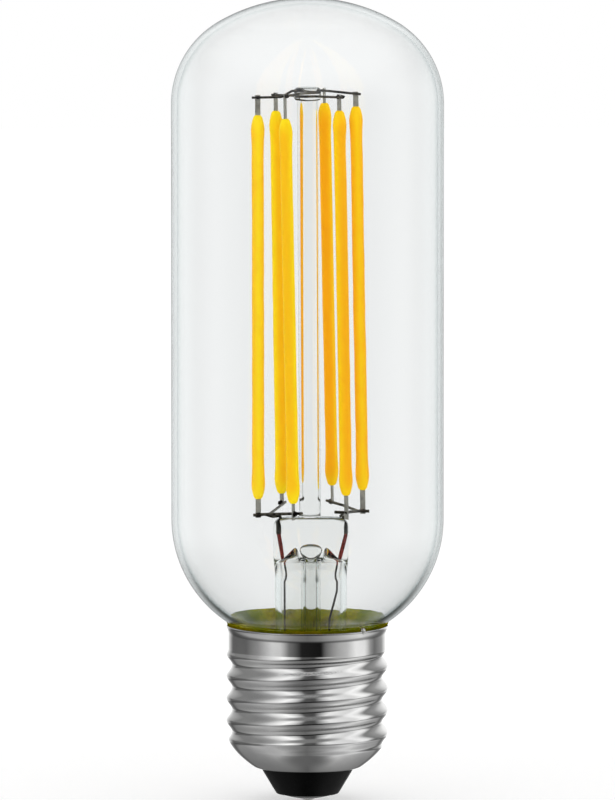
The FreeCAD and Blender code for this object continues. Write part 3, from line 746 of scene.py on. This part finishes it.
for number in filament_places:
    print("strip", number, "stands on", [round(value, 2) for value in cage_place(number, False)[0]])

# %% [markdown]
# The coating swells before each end, where the silicone drew together as it cured, and it wanders by a
# few hundredths of a millimetre along its length. Each strip is a skin through rings that stand square
# to its own axis. Mirror rays pass the strips by, because their faint images in the dome would only
# smear it.

# %% Six phosphor strips
def filament_mesh(number):
    """Coating of one strip, with the attribute over_strip that is high on its two flat faces."""
    low, outward = cage_place(number, False)[:2]
    high = cage_place(number, True)[0]
    length = (high - low).length
    upright = (high - low).normalized()
    side = upright.cross(outward).normalized()
    front = side.cross(upright)
    middle_steps = 40
    run = length - 2 * end_shape[-1][1]
    profile = list(end_shape)
    profile += [(0.98, end_shape[-1][1] + run * step / middle_steps) for step in range(1, middle_steps)]
    profile += [(radius, length - z) for radius, z in reversed(end_shape)]
    rings = []
    over_strip = []
    for radius, along in profile:
        wander = noise.noise(Vector((number * 7.3, 0.0, along * 0.16))) * wander_size
        ring = []
        for turn in around(40):
            uneven = noise.noise(Vector((math.cos(turn), math.sin(turn) + number * 3.1, along * 0.45)))
            reach = radius + unevenness * uneven * min(1.0, radius)
            point = low + upright * along + front * (reach * math.cos(turn) + wander)
            point += side * (reach * math.sin(turn))
            ring.append(tuple(point))
            flat = abs(math.cos(turn)) ** 1.4
            near_end = smooth_step(min(along, length - along) / 3.0)
            over_strip.append(flat * near_end)
        rings.append(ring)
    piece = skin(f"phosphor_strip_{number}", rings, start=tuple(low), end=tuple(high))
    over_strip += [0.0, 0.0]
    layer = piece.data.attributes.new("over_strip", "FLOAT", "POINT")
    layer.data.foreach_set("value", over_strip)
    return piece


for number in filament_places:
    finish = lemon_phosphor if number in left_string else orange_phosphor
    strip = filament_mesh(number)
    strip.visible_glossy = False
    fit(strip, finish, "phosphor", f"filament_{number}")

# %% [markdown]
# ## Wires and tabs
# The cage is drawn nickel wire, spot-welded to thin plated tabs. Heat from welding and sealing has
# dulled the wire to a brownish grey, so it is a metal with a dark colour and a medium roughness, and
# noise along it gives the lighter and darker stretches. The solids already have the right shape, so
# they stay and only take the finishes.

# %% Finishes of the wires
def metal_finish(
    name, colour, patch_colour, patch_mm, roughness, scratch_mm, depth_mm, spread=0.5, metallic=1.0
):
    """Metal with patches of a second colour and fine marks of the given size and depth."""
    material, tree = new_finish(name)
    place = add(tree, "TexCoord").outputs["Object"]
    patches = add(tree, "TexNoise", {"Vector": place, "Scale": 1000.0 / patch_mm, "Detail": 3.0})
    tone = add(tree, "ValToRGB", {"Fac": patches})
    set_ramp(tone, [(0.5 - spread / 2, linear(colour)), (0.5 + spread / 2, linear(patch_colour))])
    marks = add(tree, "TexNoise", {"Vector": place, "Scale": 1000.0 / scratch_mm, "Detail": 2.0})
    rough = add(tree, "MapRange", {
        "Value": patches, "From Min": 0.3, "From Max": 0.7, "To Min": roughness * 0.8,
        "To Max": roughness * 1.25,
    })
    bump = add(tree, "Bump", {"Strength": 0.5, "Distance": depth_mm * MM, "Height": marks})
    shader = add(tree, "BsdfPrincipled", {
        "Base Color": tone,
        "Metallic": metallic,
        "Roughness": rough,
        "Normal": bump,
    })
    add(tree, "OutputMaterial", {"Surface": shader})
    return material


dull_nickel = metal_finish("drawn_nickel_wire", "#26231F", "#8D8676", 1.1, 0.34, 0.12, 0.01, 0.3)
plated_tab = metal_finish("plated_steel_tab", "#8F8F89", "#B4B4AC", 0.8, 0.42, 0.2, 0.01, 0.4, 0.35)
tarnished_copper = metal_finish("tarnished_copper_wire", "#221E1B", "#4E3C31", 2.5, 0.42, 0.15, 0.01)
weld_nickel = metal_finish("burnt_weld", "#0E0C0B", "#4A4036", 0.5, 0.5, 0.12, 0.03, 0.3)
bright_solder = metal_finish("tin_solder", "#B8B8B4", "#D8D8D2", 1.0, 0.28, 0.25, 0.03)
print("wire finishes ready")

# %% [markdown]
# The wire that passes through the press is clad with oxidised copper, because copper oxide bonds to
# glass. Seen through the glass it is brick red. The oxide is not a metal, so this one is a plain
# satin surface.

# %% Oxidised seal wire finish
seal_oxide, tree = new_finish("red_copper_oxide")
place = add(tree, "TexCoord").outputs["Object"]
patches = add(tree, "TexNoise", {"Vector": place, "Scale": 700.0, "Detail": 3.0})
tone = add(tree, "ValToRGB", {"Fac": patches})
set_ramp(tone, [(0.3, linear("#6E1812")), (0.7, linear("#A8382A"))])
shader = add(tree, "BsdfPrincipled", {"Base Color": tone, "Roughness": 0.35})
add(tree, "OutputMaterial", {"Surface": shader})
print("seal wire finish ready")

# %% [markdown]
# A solid that stays is an object of the loaded frame. Its plain finish is taken off and the new one put
# on, so its shape isn't touched. The tabs and the support wires are picked by the words in their names.

# %% Give the wires and tabs their finishes
def dress(finish, *names):
    """Puts a finish on CAD nodes that stay as they are."""
    for name in names:
        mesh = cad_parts[name].data
        mesh.materials.clear()
        mesh.materials.append(finish)


dress(dull_nickel, *[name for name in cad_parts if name.startswith("top_support_wire")])
dress(dull_nickel, "left_bus_wire", "right_bus_wire", "left_branch_wire", "right_branch_wire")
dress(dull_nickel, "left_inner_lead", "right_inner_lead")
dress(plated_tab, *[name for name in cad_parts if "_tab_" in name])
dress(seal_oxide, "left_seal_wire", "right_seal_wire")
dress(tarnished_copper, "left_outer_lead", "right_outer_lead", "side_lead")
print("wires dressed")

# %% [markdown]
# ## Welds
# Each crossing of a wire and a tab was spot-welded, which leaves a small dark bead of molten metal.
# A bead is a ball of rings pushed about by noise. It is tiny, but without these dark knots the cage
# looks drawn rather than made.

# %% Weld beads
def by_tab(number, upper, out, aside, z):
    """Point near a tab: the distances out and aside from its middle, at the height z."""
    centre, outward, sideways = cage_place(number, upper)
    point = centre + outward * out + sideways * aside
    return Vector((point.x, point.y, z))


bead_unevenness = 0.28


def bead(name, centre, sizes, seed):
    """Uneven ball with the three half sizes."""
    rings = []
    for row in range(1, 10):
        rise = math.pi * row / 10
        ring = []
        for turn in around(18):
            ray = Vector((math.sin(rise) * math.cos(turn), math.sin(rise) * math.sin(turn), math.cos(rise)))
            swell = 1.0 + bead_unevenness * noise.noise(ray * 1.7 + Vector((seed * 5.1, 0.0, 0.0)))
            ring.append(tuple(centre + Vector([ray[axis] * sizes[axis] * swell for axis in range(3)])))
        rings.append(ring)
    top = tuple(centre + Vector((0.0, 0.0, sizes[2])))
    bottom = tuple(centre - Vector((0.0, 0.0, sizes[2])))
    return skin(name, rings, start=top, end=bottom, sharp=80.0)


upper_wire_heights = {1: 114.25, 2: 114.0, 3: 115.0, 4: 114.68, 5: 114.8, 6: 114.6}
lower_wire_heights = {1: 46.6, 2: 47.65, 3: 47.5, 4: 47.75, 5: 47.6, 6: 46.95}
bead_sizes = {
    (1, True): (0.34, 0.34, 0.26),
    (2, True): (0.42, 0.36, 0.30),
    (3, True): (0.50, 0.40, 0.32),
    (4, True): (0.36, 0.36, 0.28),
    (5, True): (0.70, 0.42, 0.38),
    (6, True): (0.30, 0.36, 0.24),
    (1, False): (0.62, 0.42, 0.40),
    (2, False): (0.46, 0.42, 0.44),
    (3, False): (0.46, 0.42, 0.50),
    (4, False): (0.42, 0.40, 0.44),
    (5, False): (0.34, 0.36, 0.34),
    (6, False): (0.52, 0.40, 0.34),
}
for (number, upper), sizes in bead_sizes.items():
    height = (upper_wire_heights if upper else lower_wire_heights)[number]
    spot = by_tab(number, upper, 0.0, 0.18, height)
    end_name = "upper" if upper else "lower"
    fit(bead(f"weld_{end_name}_{number}", spot, sizes, number + 10 * upper), weld_nickel, "nickel_wire")

# %% [markdown]
# ## The rolled screw shell
# The cap is drawn from thin brass sheet, rolled on a mandrel into an E27 thread and nickel plated.
# The thread is a smooth wave: seven turns to the inch, 26.4 mm across the crests. Under it the wall turns
# in as a rounded cone, and the two are blended where they meet. One formula gives the wall's radius for
# each height and angle, and the same formula with an inset gives its inner face.

# %% Formula of the rolled wall
thread_pitch = 3.629
thread_crest_radius = 13.2
thread_root_radius = 12.3
left_crest_z = 9.38
thread_fade_z = 23.4
band_z = 25.0
band_radius = 12.88
shell_sheet = 0.3
thread_start_z = 8.3
thread_full_z = 9.5
lip_z = 26.9
flare_end_z = 28.3
lip_radius = 13.2
shell_top = 28.6
shoulder_z = 5.4
shoulder_mouth = 7.9
mouth_radius = 7.6
shoulder_fillet = 2.06
shoulder_angle = 36.0
cone_rounding = 0.11
rounded_climb = 4.5
fillet_centre = (shoulder_mouth, shoulder_z + shoulder_fillet)


def cone_radius(z, inset):
    """Radius of the rounded cone under the thread at the height z."""
    start = arc(fillet_centre, shoulder_fillet - inset, shoulder_angle - 90, 0, 1)[0]
    climb = z - start[1]
    steepening = cone_rounding * min(climb, rounded_climb) ** 2
    return start[0] + climb / math.tan(math.radians(shoulder_angle)) - steepening


def shell_radius(z, turn, inset):
    """Radius of the rolled wall."""
    plain = smooth_step((band_z - z) / (band_z - thread_fade_z))
    wall = (thread_crest_radius + thread_root_radius) / 2 * plain + band_radius * (1 - plain) - inset
    weight = plain * smooth_step((z - thread_start_z) / (thread_full_z - thread_start_z))
    wave = math.cos(2 * math.pi * (z - left_crest_z) / thread_pitch - (turn - math.pi))
    rolled = wall + (thread_crest_radius - thread_root_radius) / 2 * weight * wave
    cone = cone_radius(z, inset)
    gap = rolled - cone
    soften = 0.5
    if abs(gap) < soften:
        return cone + gap / 2 - (gap * gap / (4 * soften)) - soften / 4
    return min(rolled, cone)


print("radius at the crest on the left:", round(shell_radius(left_crest_z, math.pi, 0.0), 2), "mm")

# %% [markdown]
# The wall is built as rings from the mouth up to the rim. Between the fillet and the lip, the formula
# gives each point of a ring its own radius, and that turns the rings into a thread. Above it the lip
# flares out to the rim. The outer face needs many more rings than the inner one, which nobody sees.

# %% Screw shell
def shell_rings(inset, rows, turns):
    """Rings of one face of the shell, from the mouth up to the rim."""
    rings = turned_rings([(mouth_radius, shoulder_z + inset)], turns)
    rings += turned_rings(arc(fillet_centre, shoulder_fillet - inset, -90, shoulder_angle - 90, 8), turns)
    low_z = rings[-1][0][2]
    for index in range(1, rows + 1):
        z = low_z + (lip_z - low_z) * index / rows
        ring = []
        for turn in around(turns):
            radius = shell_radius(z, turn, inset)
            ring.append((radius * math.cos(turn), radius * math.sin(turn), z))
        rings.append(ring)
    rim = lip_radius - inset
    for index in range(1, 13):
        share = index / 12
        flare = band_radius - inset + (lip_radius - band_radius) * share * share
        rings += turned_rings([(flare, lip_z + (flare_end_z - lip_z) * share)], turns)
    rings += turned_rings([(rim, shell_top - 0.1)], turns)
    rings += turned_rings([(rim - (0.08 if inset == 0 else -0.08), shell_top)], turns)
    return rings


outer_face = shell_rings(0.0, 190, 300)
inner_face = shell_rings(shell_sheet, 60, 300)
shell = skin("rolled_screw_shell", outer_face + inner_face[::-1], loop=True)
print("shell width", round(max(v.co.x for v in shell.data.vertices) * 2000, 2), "mm")

# %% [markdown]
# Nickel plate is a bright, slightly warm grey metal. Rolling leaves hair-fine lines round the cap, and
# handling leaves a bloom that is a little rougher here and there. The lines are a noise stretched
# round the cap: very fine up the axis, an eighth of a millimetre, and long the other way.

# %% Bright nickel plate finish
nickel_plate, tree = new_finish("bright_nickel_plate")
place = add(tree, "TexCoord").outputs["Object"]
x, y, z = add(tree, "SeparateXYZ", {0: place}).outputs
turn_round = add(tree, "Math", {0: y, 1: x}, operation="ARCTAN2")
unrolled = add(tree, "CombineXYZ", {0: turn_round, 1: 0.0, 2: z})
stretched = add(tree, "Mapping", {"Vector": unrolled, "Scale": (1.2, 1.0, 1000.0 / 0.12)})
lines = add(tree, "TexNoise", {"Vector": stretched, "Scale": 1.0, "Detail": 2.0})
bloom = add(tree, "TexNoise", {"Vector": place, "Scale": 1000.0 / 5.0, "Detail": 4.0})
rough = add(
    tree, "MapRange", {"Value": bloom, "From Min": 0.35, "From Max": 0.7, "To Min": 0.06, "To Max": 0.13}
)
tone = add(tree, "ValToRGB", {"Fac": bloom})
set_ramp(tone, [(0.35, linear("#D2D2D1")), (0.7, linear("#C6C6C6"))])
bump = add(tree, "Bump", {"Strength": 0.25, "Distance": 0.00001, "Height": lines})
shader = add(tree, "BsdfPrincipled", {
    "Base Color": tone,
    "Metallic": 1.0,
    "Roughness": rough,
    "Normal": bump,
})
add(tree, "OutputMaterial", {"Surface": shader})
fit(shell, nickel_plate, "nickel_plate", "screw_shell")

# %% [markdown]
# ## Capping cement
# The glass is glued into the shell with a resin cement, filled with marble powder and tinted olive. It
# hardened from a paste, so its skin is matt and grainy, and a little was squeezed up over the rim. It
# shows mostly through the glass of the neck. A gap as thin as a hair is left between the two, because a
# matt surface inside the glass would trap the light that falls on it. The resin is a little translucent.
# Behind the glass the cement gets a painted glow: a small emission of its own colour that grows towards
# its upper edge and paints the light that runs down inside the glass. The rim in the open is a duller
# brown, without the painted glow. The specular level is zero, because a sheen at a grazing angle would
# grey the olive behind the glass.

# %% Cement finish
cement_finish, tree = new_finish("olive_capping_cement")
place = add(tree, "TexCoord").outputs["Object"]
clouds = add(tree, "TexNoise", {"Vector": place, "Scale": 1000.0 / 7.0, "Detail": 4.0, "Roughness": 0.65})
tone = add(tree, "ValToRGB", {"Fac": clouds})
paste_tones = ((0.34, "#5A680C"), (0.46, "#7C860E"), (0.56, "#9A9412"), (0.68, "#6A6408"))
set_ramp(tone, [(place_on_ramp, linear(colour)) for place_on_ramp, colour in paste_tones])
grains = add(tree, "TexVoronoi", {"Vector": place, "Scale": 1000.0 / 0.35})
speckle = add(
    tree, "MapRange", {"Value": grains, "From Min": 0.0, "From Max": 0.7, "To Min": 0.78, "To Max": 1.12}
)
grained = add(tree, "Mix", {"Factor": 1.0, 6: tone, 7: speckle}, **in_colour, blend_type="MULTIPLY")
bump = add(tree, "Bump", {"Strength": 0.6, "Distance": 0.00008, "Height": grains})
height = add(tree, "SeparateXYZ", {0: place})
# Painted glow: emission that grows towards the upper edge of the cement, used only behind the glass.
painted_glow = add(tree, "MapRange", {
    "Value": height.outputs["Z"], "From Min": 0.0265, "From Max": 0.0292, "To Min": 0.22, "To Max": 0.5,
})

# The side turned to the lamp's axis lies behind the glass. The side turned away is the rim in the open.
outward = add(tree, "VectorMath", {0: place, 1: (1, 1, 0)}, operation="MULTIPLY")
skin_side = add(tree, "NewGeometry")
turned = add(tree, "VectorMath", {0: outward, 1: skin_side.outputs["True Normal"]}, operation="DOT_PRODUCT")
behind_glass = add(tree, "MapRange", {"Value": turned, "From Min": 0.001, "From Max": -0.001})
painted_glow_behind_glass = add(tree, "Math", {0: painted_glow, 1: behind_glass}, operation="MULTIPLY")
rim_tone = add(
    tree, "Mix", {"Factor": 1.0, 6: grained, 7: linear("#BDB09A")}, **in_colour, blend_type="MULTIPLY"
)
two_sided = add(tree, "Mix", {"Factor": behind_glass, 6: rim_tone, 7: grained}, **in_colour)
shader = add(tree, "BsdfPrincipled", {
    "Base Color": two_sided,
    "Roughness": 0.9,
    "Specular IOR Level": 0.0,
    "Emission Color": grained,
    "Emission Strength": painted_glow_behind_glass,
    "Normal": bump,
})
add(tree, "OutputMaterial", {"Surface": shader})
print("cement finish ready")

# %% [markdown]
# The ring's outside follows the shell and its inside follows the glass. Noise makes the rim in the open
# and the upper edge uneven, where the paste was squeezed out.

# %% Cement ring
cement_top_z = 29.25
uneven_from_z = 29.0
hair_gap = 0.015
cement_turns = 240
coarse_lump = 0.09
fine_lump = 0.05
edge_lump = 0.12
glass_side = [point for point in outside if point[1] < cement_top_z]
cement_outer = [(11.9, neck_z), (11.9, band_z), (12.5, band_z + 0.1), (12.55, lip_z), (12.84, flare_end_z)]
cement_outer += [(12.9, shell_top), (13.02, shell_top + 0.2), (13.06, shell_top + 0.42)]
cement_rings = []
for radius, z in cement_outer:
    free = 1.0 if z > shell_top - 0.01 else 0.0
    ring = []
    for turn in around(cement_turns):
        lump = noise.noise(Vector((math.cos(turn) * 6, math.sin(turn) * 6, z * 2.0))) * coarse_lump
        lump += noise.noise(Vector((math.cos(turn) * 21, math.sin(turn) * 21, z * 6.0))) * fine_lump
        out = radius + lump * free
        ring.append((out * math.cos(turn), out * math.sin(turn), z + lump * free))
    cement_rings.append(ring)
for radius, z in glass_side:
    ring = []
    for turn in around(cement_turns):
        rise = 0.0
        if z > uneven_from_z:
            rise = noise.noise(Vector((math.cos(turn) * 4, math.sin(turn) * 4, 3.0))) * edge_lump
        out = radius + hair_gap
        ring.append((out * math.cos(turn), out * math.sin(turn), z + rise))
    cement_rings.append(ring)
cement = skin("capping_cement", cement_rings, loop=True, sharp=50.0)
fit(cement, cement_finish, "cement", "cap_cement")

# %% [markdown]
# ## Insulator, contact and solder
# The black piece under the shell is moulded thermoset, glossy where it left the mould. The centre
# contact is a small domed disc of the same plated sheet as the shell, and the lead through its hole is
# held by a flat puddle of solder, which is the lowest point of the lamp.

# %% Moulded black finish
moulded_black, tree = new_finish("black_moulded_thermoset")
place = add(tree, "TexCoord").outputs["Object"]
skin_noise = add(tree, "TexNoise", {"Vector": place, "Scale": 1000.0 / 1.2, "Detail": 3.0})
rough = add(
    tree, "MapRange", {"Value": skin_noise, "From Min": 0.3, "From Max": 0.7, "To Min": 0.24, "To Max": 0.4}
)
tone = add(tree, "ValToRGB", {"Fac": skin_noise})
set_ramp(tone, [(0.3, linear("#050505")), (0.7, linear("#0A0A0A"))])
bump = add(tree, "Bump", {"Strength": 0.2, "Distance": 0.00003, "Height": skin_noise})
shader = add(tree, "BsdfPrincipled", {
    "Base Color": tone,
    "Roughness": rough,
    "Specular IOR Level": 0.06,
    "Normal": bump,
})
add(tree, "OutputMaterial", {"Surface": shader})
print("moulded finish ready")

# %% [markdown]
# The insulator is turned too. Its profile runs from the bore along the dome of the contact, out over
# the foot, up inside the mouth of the shell and along its cone to a flat top.

# %% Black insulator
insulator_foot_radius = 5.1
insulator_foot_z = 1.14
insulator_top_z = 8.5
insulator_bore = 1.6
contact_radius = 4.75
contact_z = 0.24
contact_sag = 0.9
contact_sheet = 0.3
contact_hole = 0.7
dome_radius = (contact_radius**2 + contact_sag**2) / (2 * contact_sag)
dome_centre = (0.0, contact_z + dome_radius)


def dome_turn(radius, x):
    """Angle at which the lower half of the contact's dome reaches the place x."""
    return -math.degrees(math.acos(x / radius))


inner_dome = dome_radius - contact_sheet
plug_radius = cone_radius(insulator_top_z, shell_sheet)
insulator_profile = arc(
    dome_centre, inner_dome, dome_turn(inner_dome, insulator_bore), dome_turn(inner_dome, contact_radius), 8
)
insulator_profile += [
    (contact_radius + 0.02, insulator_foot_z),
    (insulator_foot_radius - 0.12, insulator_foot_z),
    (insulator_foot_radius - 0.03, insulator_foot_z + 0.05),
    (insulator_foot_radius + 0.06, insulator_foot_z + 0.16),
    (mouth_radius - 0.1, shoulder_z - 0.17),
    (mouth_radius - 0.01, shoulder_z + 0.02),
    (mouth_radius - 0.01, shoulder_z + 0.31),
    (shoulder_mouth, shoulder_z + 0.31),
]
insulator_profile += arc(fillet_centre, shoulder_fillet - shell_sheet - 0.01, -90, shoulder_angle - 90, 6)
insulator_profile += [(plug_radius - 0.02, insulator_top_z), (insulator_bore, insulator_top_z)]
insulator = skin("moulded_insulator", turned_rings(insulator_profile, 160), loop=True, sharp=30.0)
fit(insulator, moulded_black, "black_insulator", "cap_insulator")

# %% [markdown]
# The contact is a dome of sheet with a hole in its middle, turned from two arcs like the insulator
# above it. The solder is a shallow bowl of rings. Noise makes its edge and its face uneven, as solder
# sets, and nothing of it may go below the height zero, because the lamp stands on it.

# %% Centre contact and its solder
hole_turn = dome_turn(dome_radius, contact_hole)
edge_turn = dome_turn(dome_radius, contact_radius - 0.06)
contact_profile = arc(dome_centre, dome_radius, hole_turn, edge_turn, 14)
contact_profile += [(contact_radius, contact_profile[-1][1] + 0.07)]
contact_profile += arc(
    dome_centre, inner_dome, dome_turn(inner_dome, contact_radius), dome_turn(inner_dome, contact_hole), 10
)
contact = skin("centre_contact_disc", turned_rings(contact_profile, 128), loop=True, sharp=40.0)
fit(contact, nickel_plate, "nickel_plate", "centre_contact")

solder_radius = 1.7
solder_height = contact_z + 0.12
solder_dome = (solder_radius**2 + solder_height**2) / (2 * solder_height)
solder_rings = []
solder_steps = 14
for step in range(1, solder_steps + 1):
    radius = solder_radius * step / solder_steps
    z = solder_dome - math.sqrt(solder_dome**2 - radius**2)
    ring = []
    for turn in around(64):
        edge_noise = noise.noise(Vector((math.cos(turn) * 1.5, math.sin(turn) * 1.5, 0.0)))
        spread = 1.0 + 0.07 * edge_noise * step / solder_steps
        lump = 0.025 * noise.noise(Vector((radius * math.cos(turn), radius * math.sin(turn), 4.0)))
        ring.append((radius * spread * math.cos(turn), radius * spread * math.sin(turn), max(z + lump, 0.0)))
    solder_rings.append(ring)
solder_top = [(solder_radius * 0.98, solder_height + 0.12), (contact_hole, contact_z + 0.45)]
solder_rings += turned_rings(solder_top, 64)
solder = skin(
    "contact_solder_puddle", solder_rings, start=(0.0, 0.0, 0.0), end=(0.0, 0.0, contact_z + 0.6), sharp=60.0
)
fit(solder, bright_solder, "tin_solder", "contact_solder")

# %% [markdown]
# The bright bead on the rim is where the side lead was bent over the edge of the shell and soldered.

# %% Side lead's solder
side_turn = math.radians(-46.8)
side_radius = 13.05
side_spot = Vector((side_radius * math.cos(side_turn), side_radius * math.sin(side_turn), shell_top + 0.1))
side_bead = bead("side_solder_bead", side_spot, sizes=(0.42, 0.42, 0.5), seed=31)
fit(side_bead, bright_solder, "tin_solder", "side_lead_solder")

# %% [markdown]
# ## The driver inside the cap
# A small board with a rectifier, a chip, a capacitor, a choke and a fusible resistor feeds the strips.
# None of it shows from outside, so the solids stay as they are, each with the finish of its real part.

# %% Finishes of the driver parts
def plain_finish(name, colour, second, patch_mm, roughness):
    """Non-metal with two close tones."""
    material, tree = new_finish(name)
    place = add(tree, "TexCoord").outputs["Object"]
    patches = add(tree, "TexNoise", {"Vector": place, "Scale": 1000.0 / patch_mm, "Detail": 3.0})
    tone = add(tree, "ValToRGB", {"Fac": patches})
    set_ramp(tone, [(0.35, linear(colour)), (0.65, linear(second))])
    bump = add(tree, "Bump", {"Strength": 0.3, "Distance": 0.00003, "Height": patches})
    shader = add(tree, "BsdfPrincipled", {"Base Color": tone, "Roughness": roughness, "Normal": bump})
    add(tree, "OutputMaterial", {"Surface": shader})
    return material


dress(plain_finish("green_solder_mask", "#14502A", "#1C6636", 1.5, 0.35), "driver_board")
dress(plain_finish("black_chip_epoxy", "#161616", "#222222", 0.4, 0.6), "bridge_rectifier", "driver_chip")
dress(plain_finish("dark_capacitor_sleeve", "#1A1A24", "#242430", 2.0, 0.3), "smoothing_capacitor")
dress(plain_finish("grey_ferrite", "#2C2A28", "#3C3936", 0.5, 0.7), "filter_choke")
dress(plain_finish("lacquered_resistor", "#3F7280", "#4E8492", 0.8, 0.4), "fusible_resistor")
print("driver parts dressed")

# %% [markdown]
# ## The floor
# The lamp stands on its contact on a plain white sweep. The floor is matt white and takes the lamp's
# soft shadow. For the camera a little light is added to it, just enough to bring the lit floor up to
# white, so that it runs into the white background without an edge. Metal and glass don't see this
# floor, because the painted studio has its own table for them.

# %% White floor
floor_mesh = bpy.data.meshes.new("floor")
half = 1.2
corners = [(-half, -half, 0), (half, -half, 0), (half, half, 0), (-half, half, 0)]
floor_mesh.from_pydata(corners, [], [(0, 1, 2, 3)])
floor = bpy.data.objects.new("floor", floor_mesh)
scene.collection.objects.link(floor)
white_sweep, tree = new_finish("matt_white_sweep")
rays = add(tree, "LightPath")
lift = add(tree, "Math", {0: rays.outputs["Is Camera Ray"], 1: 0.46}, operation="MULTIPLY")
shader = add(tree, "BsdfPrincipled", {
    "Base Color": grey(0.6),
    "Roughness": 1.0,
    "Specular IOR Level": 0.0,
    "Emission Color": grey(1.0),
    "Emission Strength": lift,
})
add(tree, "OutputMaterial", {"Surface": shader})
floor_mesh.materials.append(white_sweep)
floor.visible_glossy = False
floor.visible_transmission = False
floor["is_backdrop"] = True
print("floor ready")

# %% [markdown]
# ## Sizes and the end
# The box of the finished lamp is set against the box of the CAD model, to see that nothing grew.

# %% Sizes of the CAD model and the finished lamp
low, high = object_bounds()
sizes = {
    "cad": [list(cad_low), list(cad_high)],
    "visual": [list(low), list(high)],
}
print("CAD size", [round((b - a) / MM, 2) for a, b in zip(cad_low, cad_high)])
print("visual size", [round((b - a) / MM, 2) for a, b in zip(low, high)])
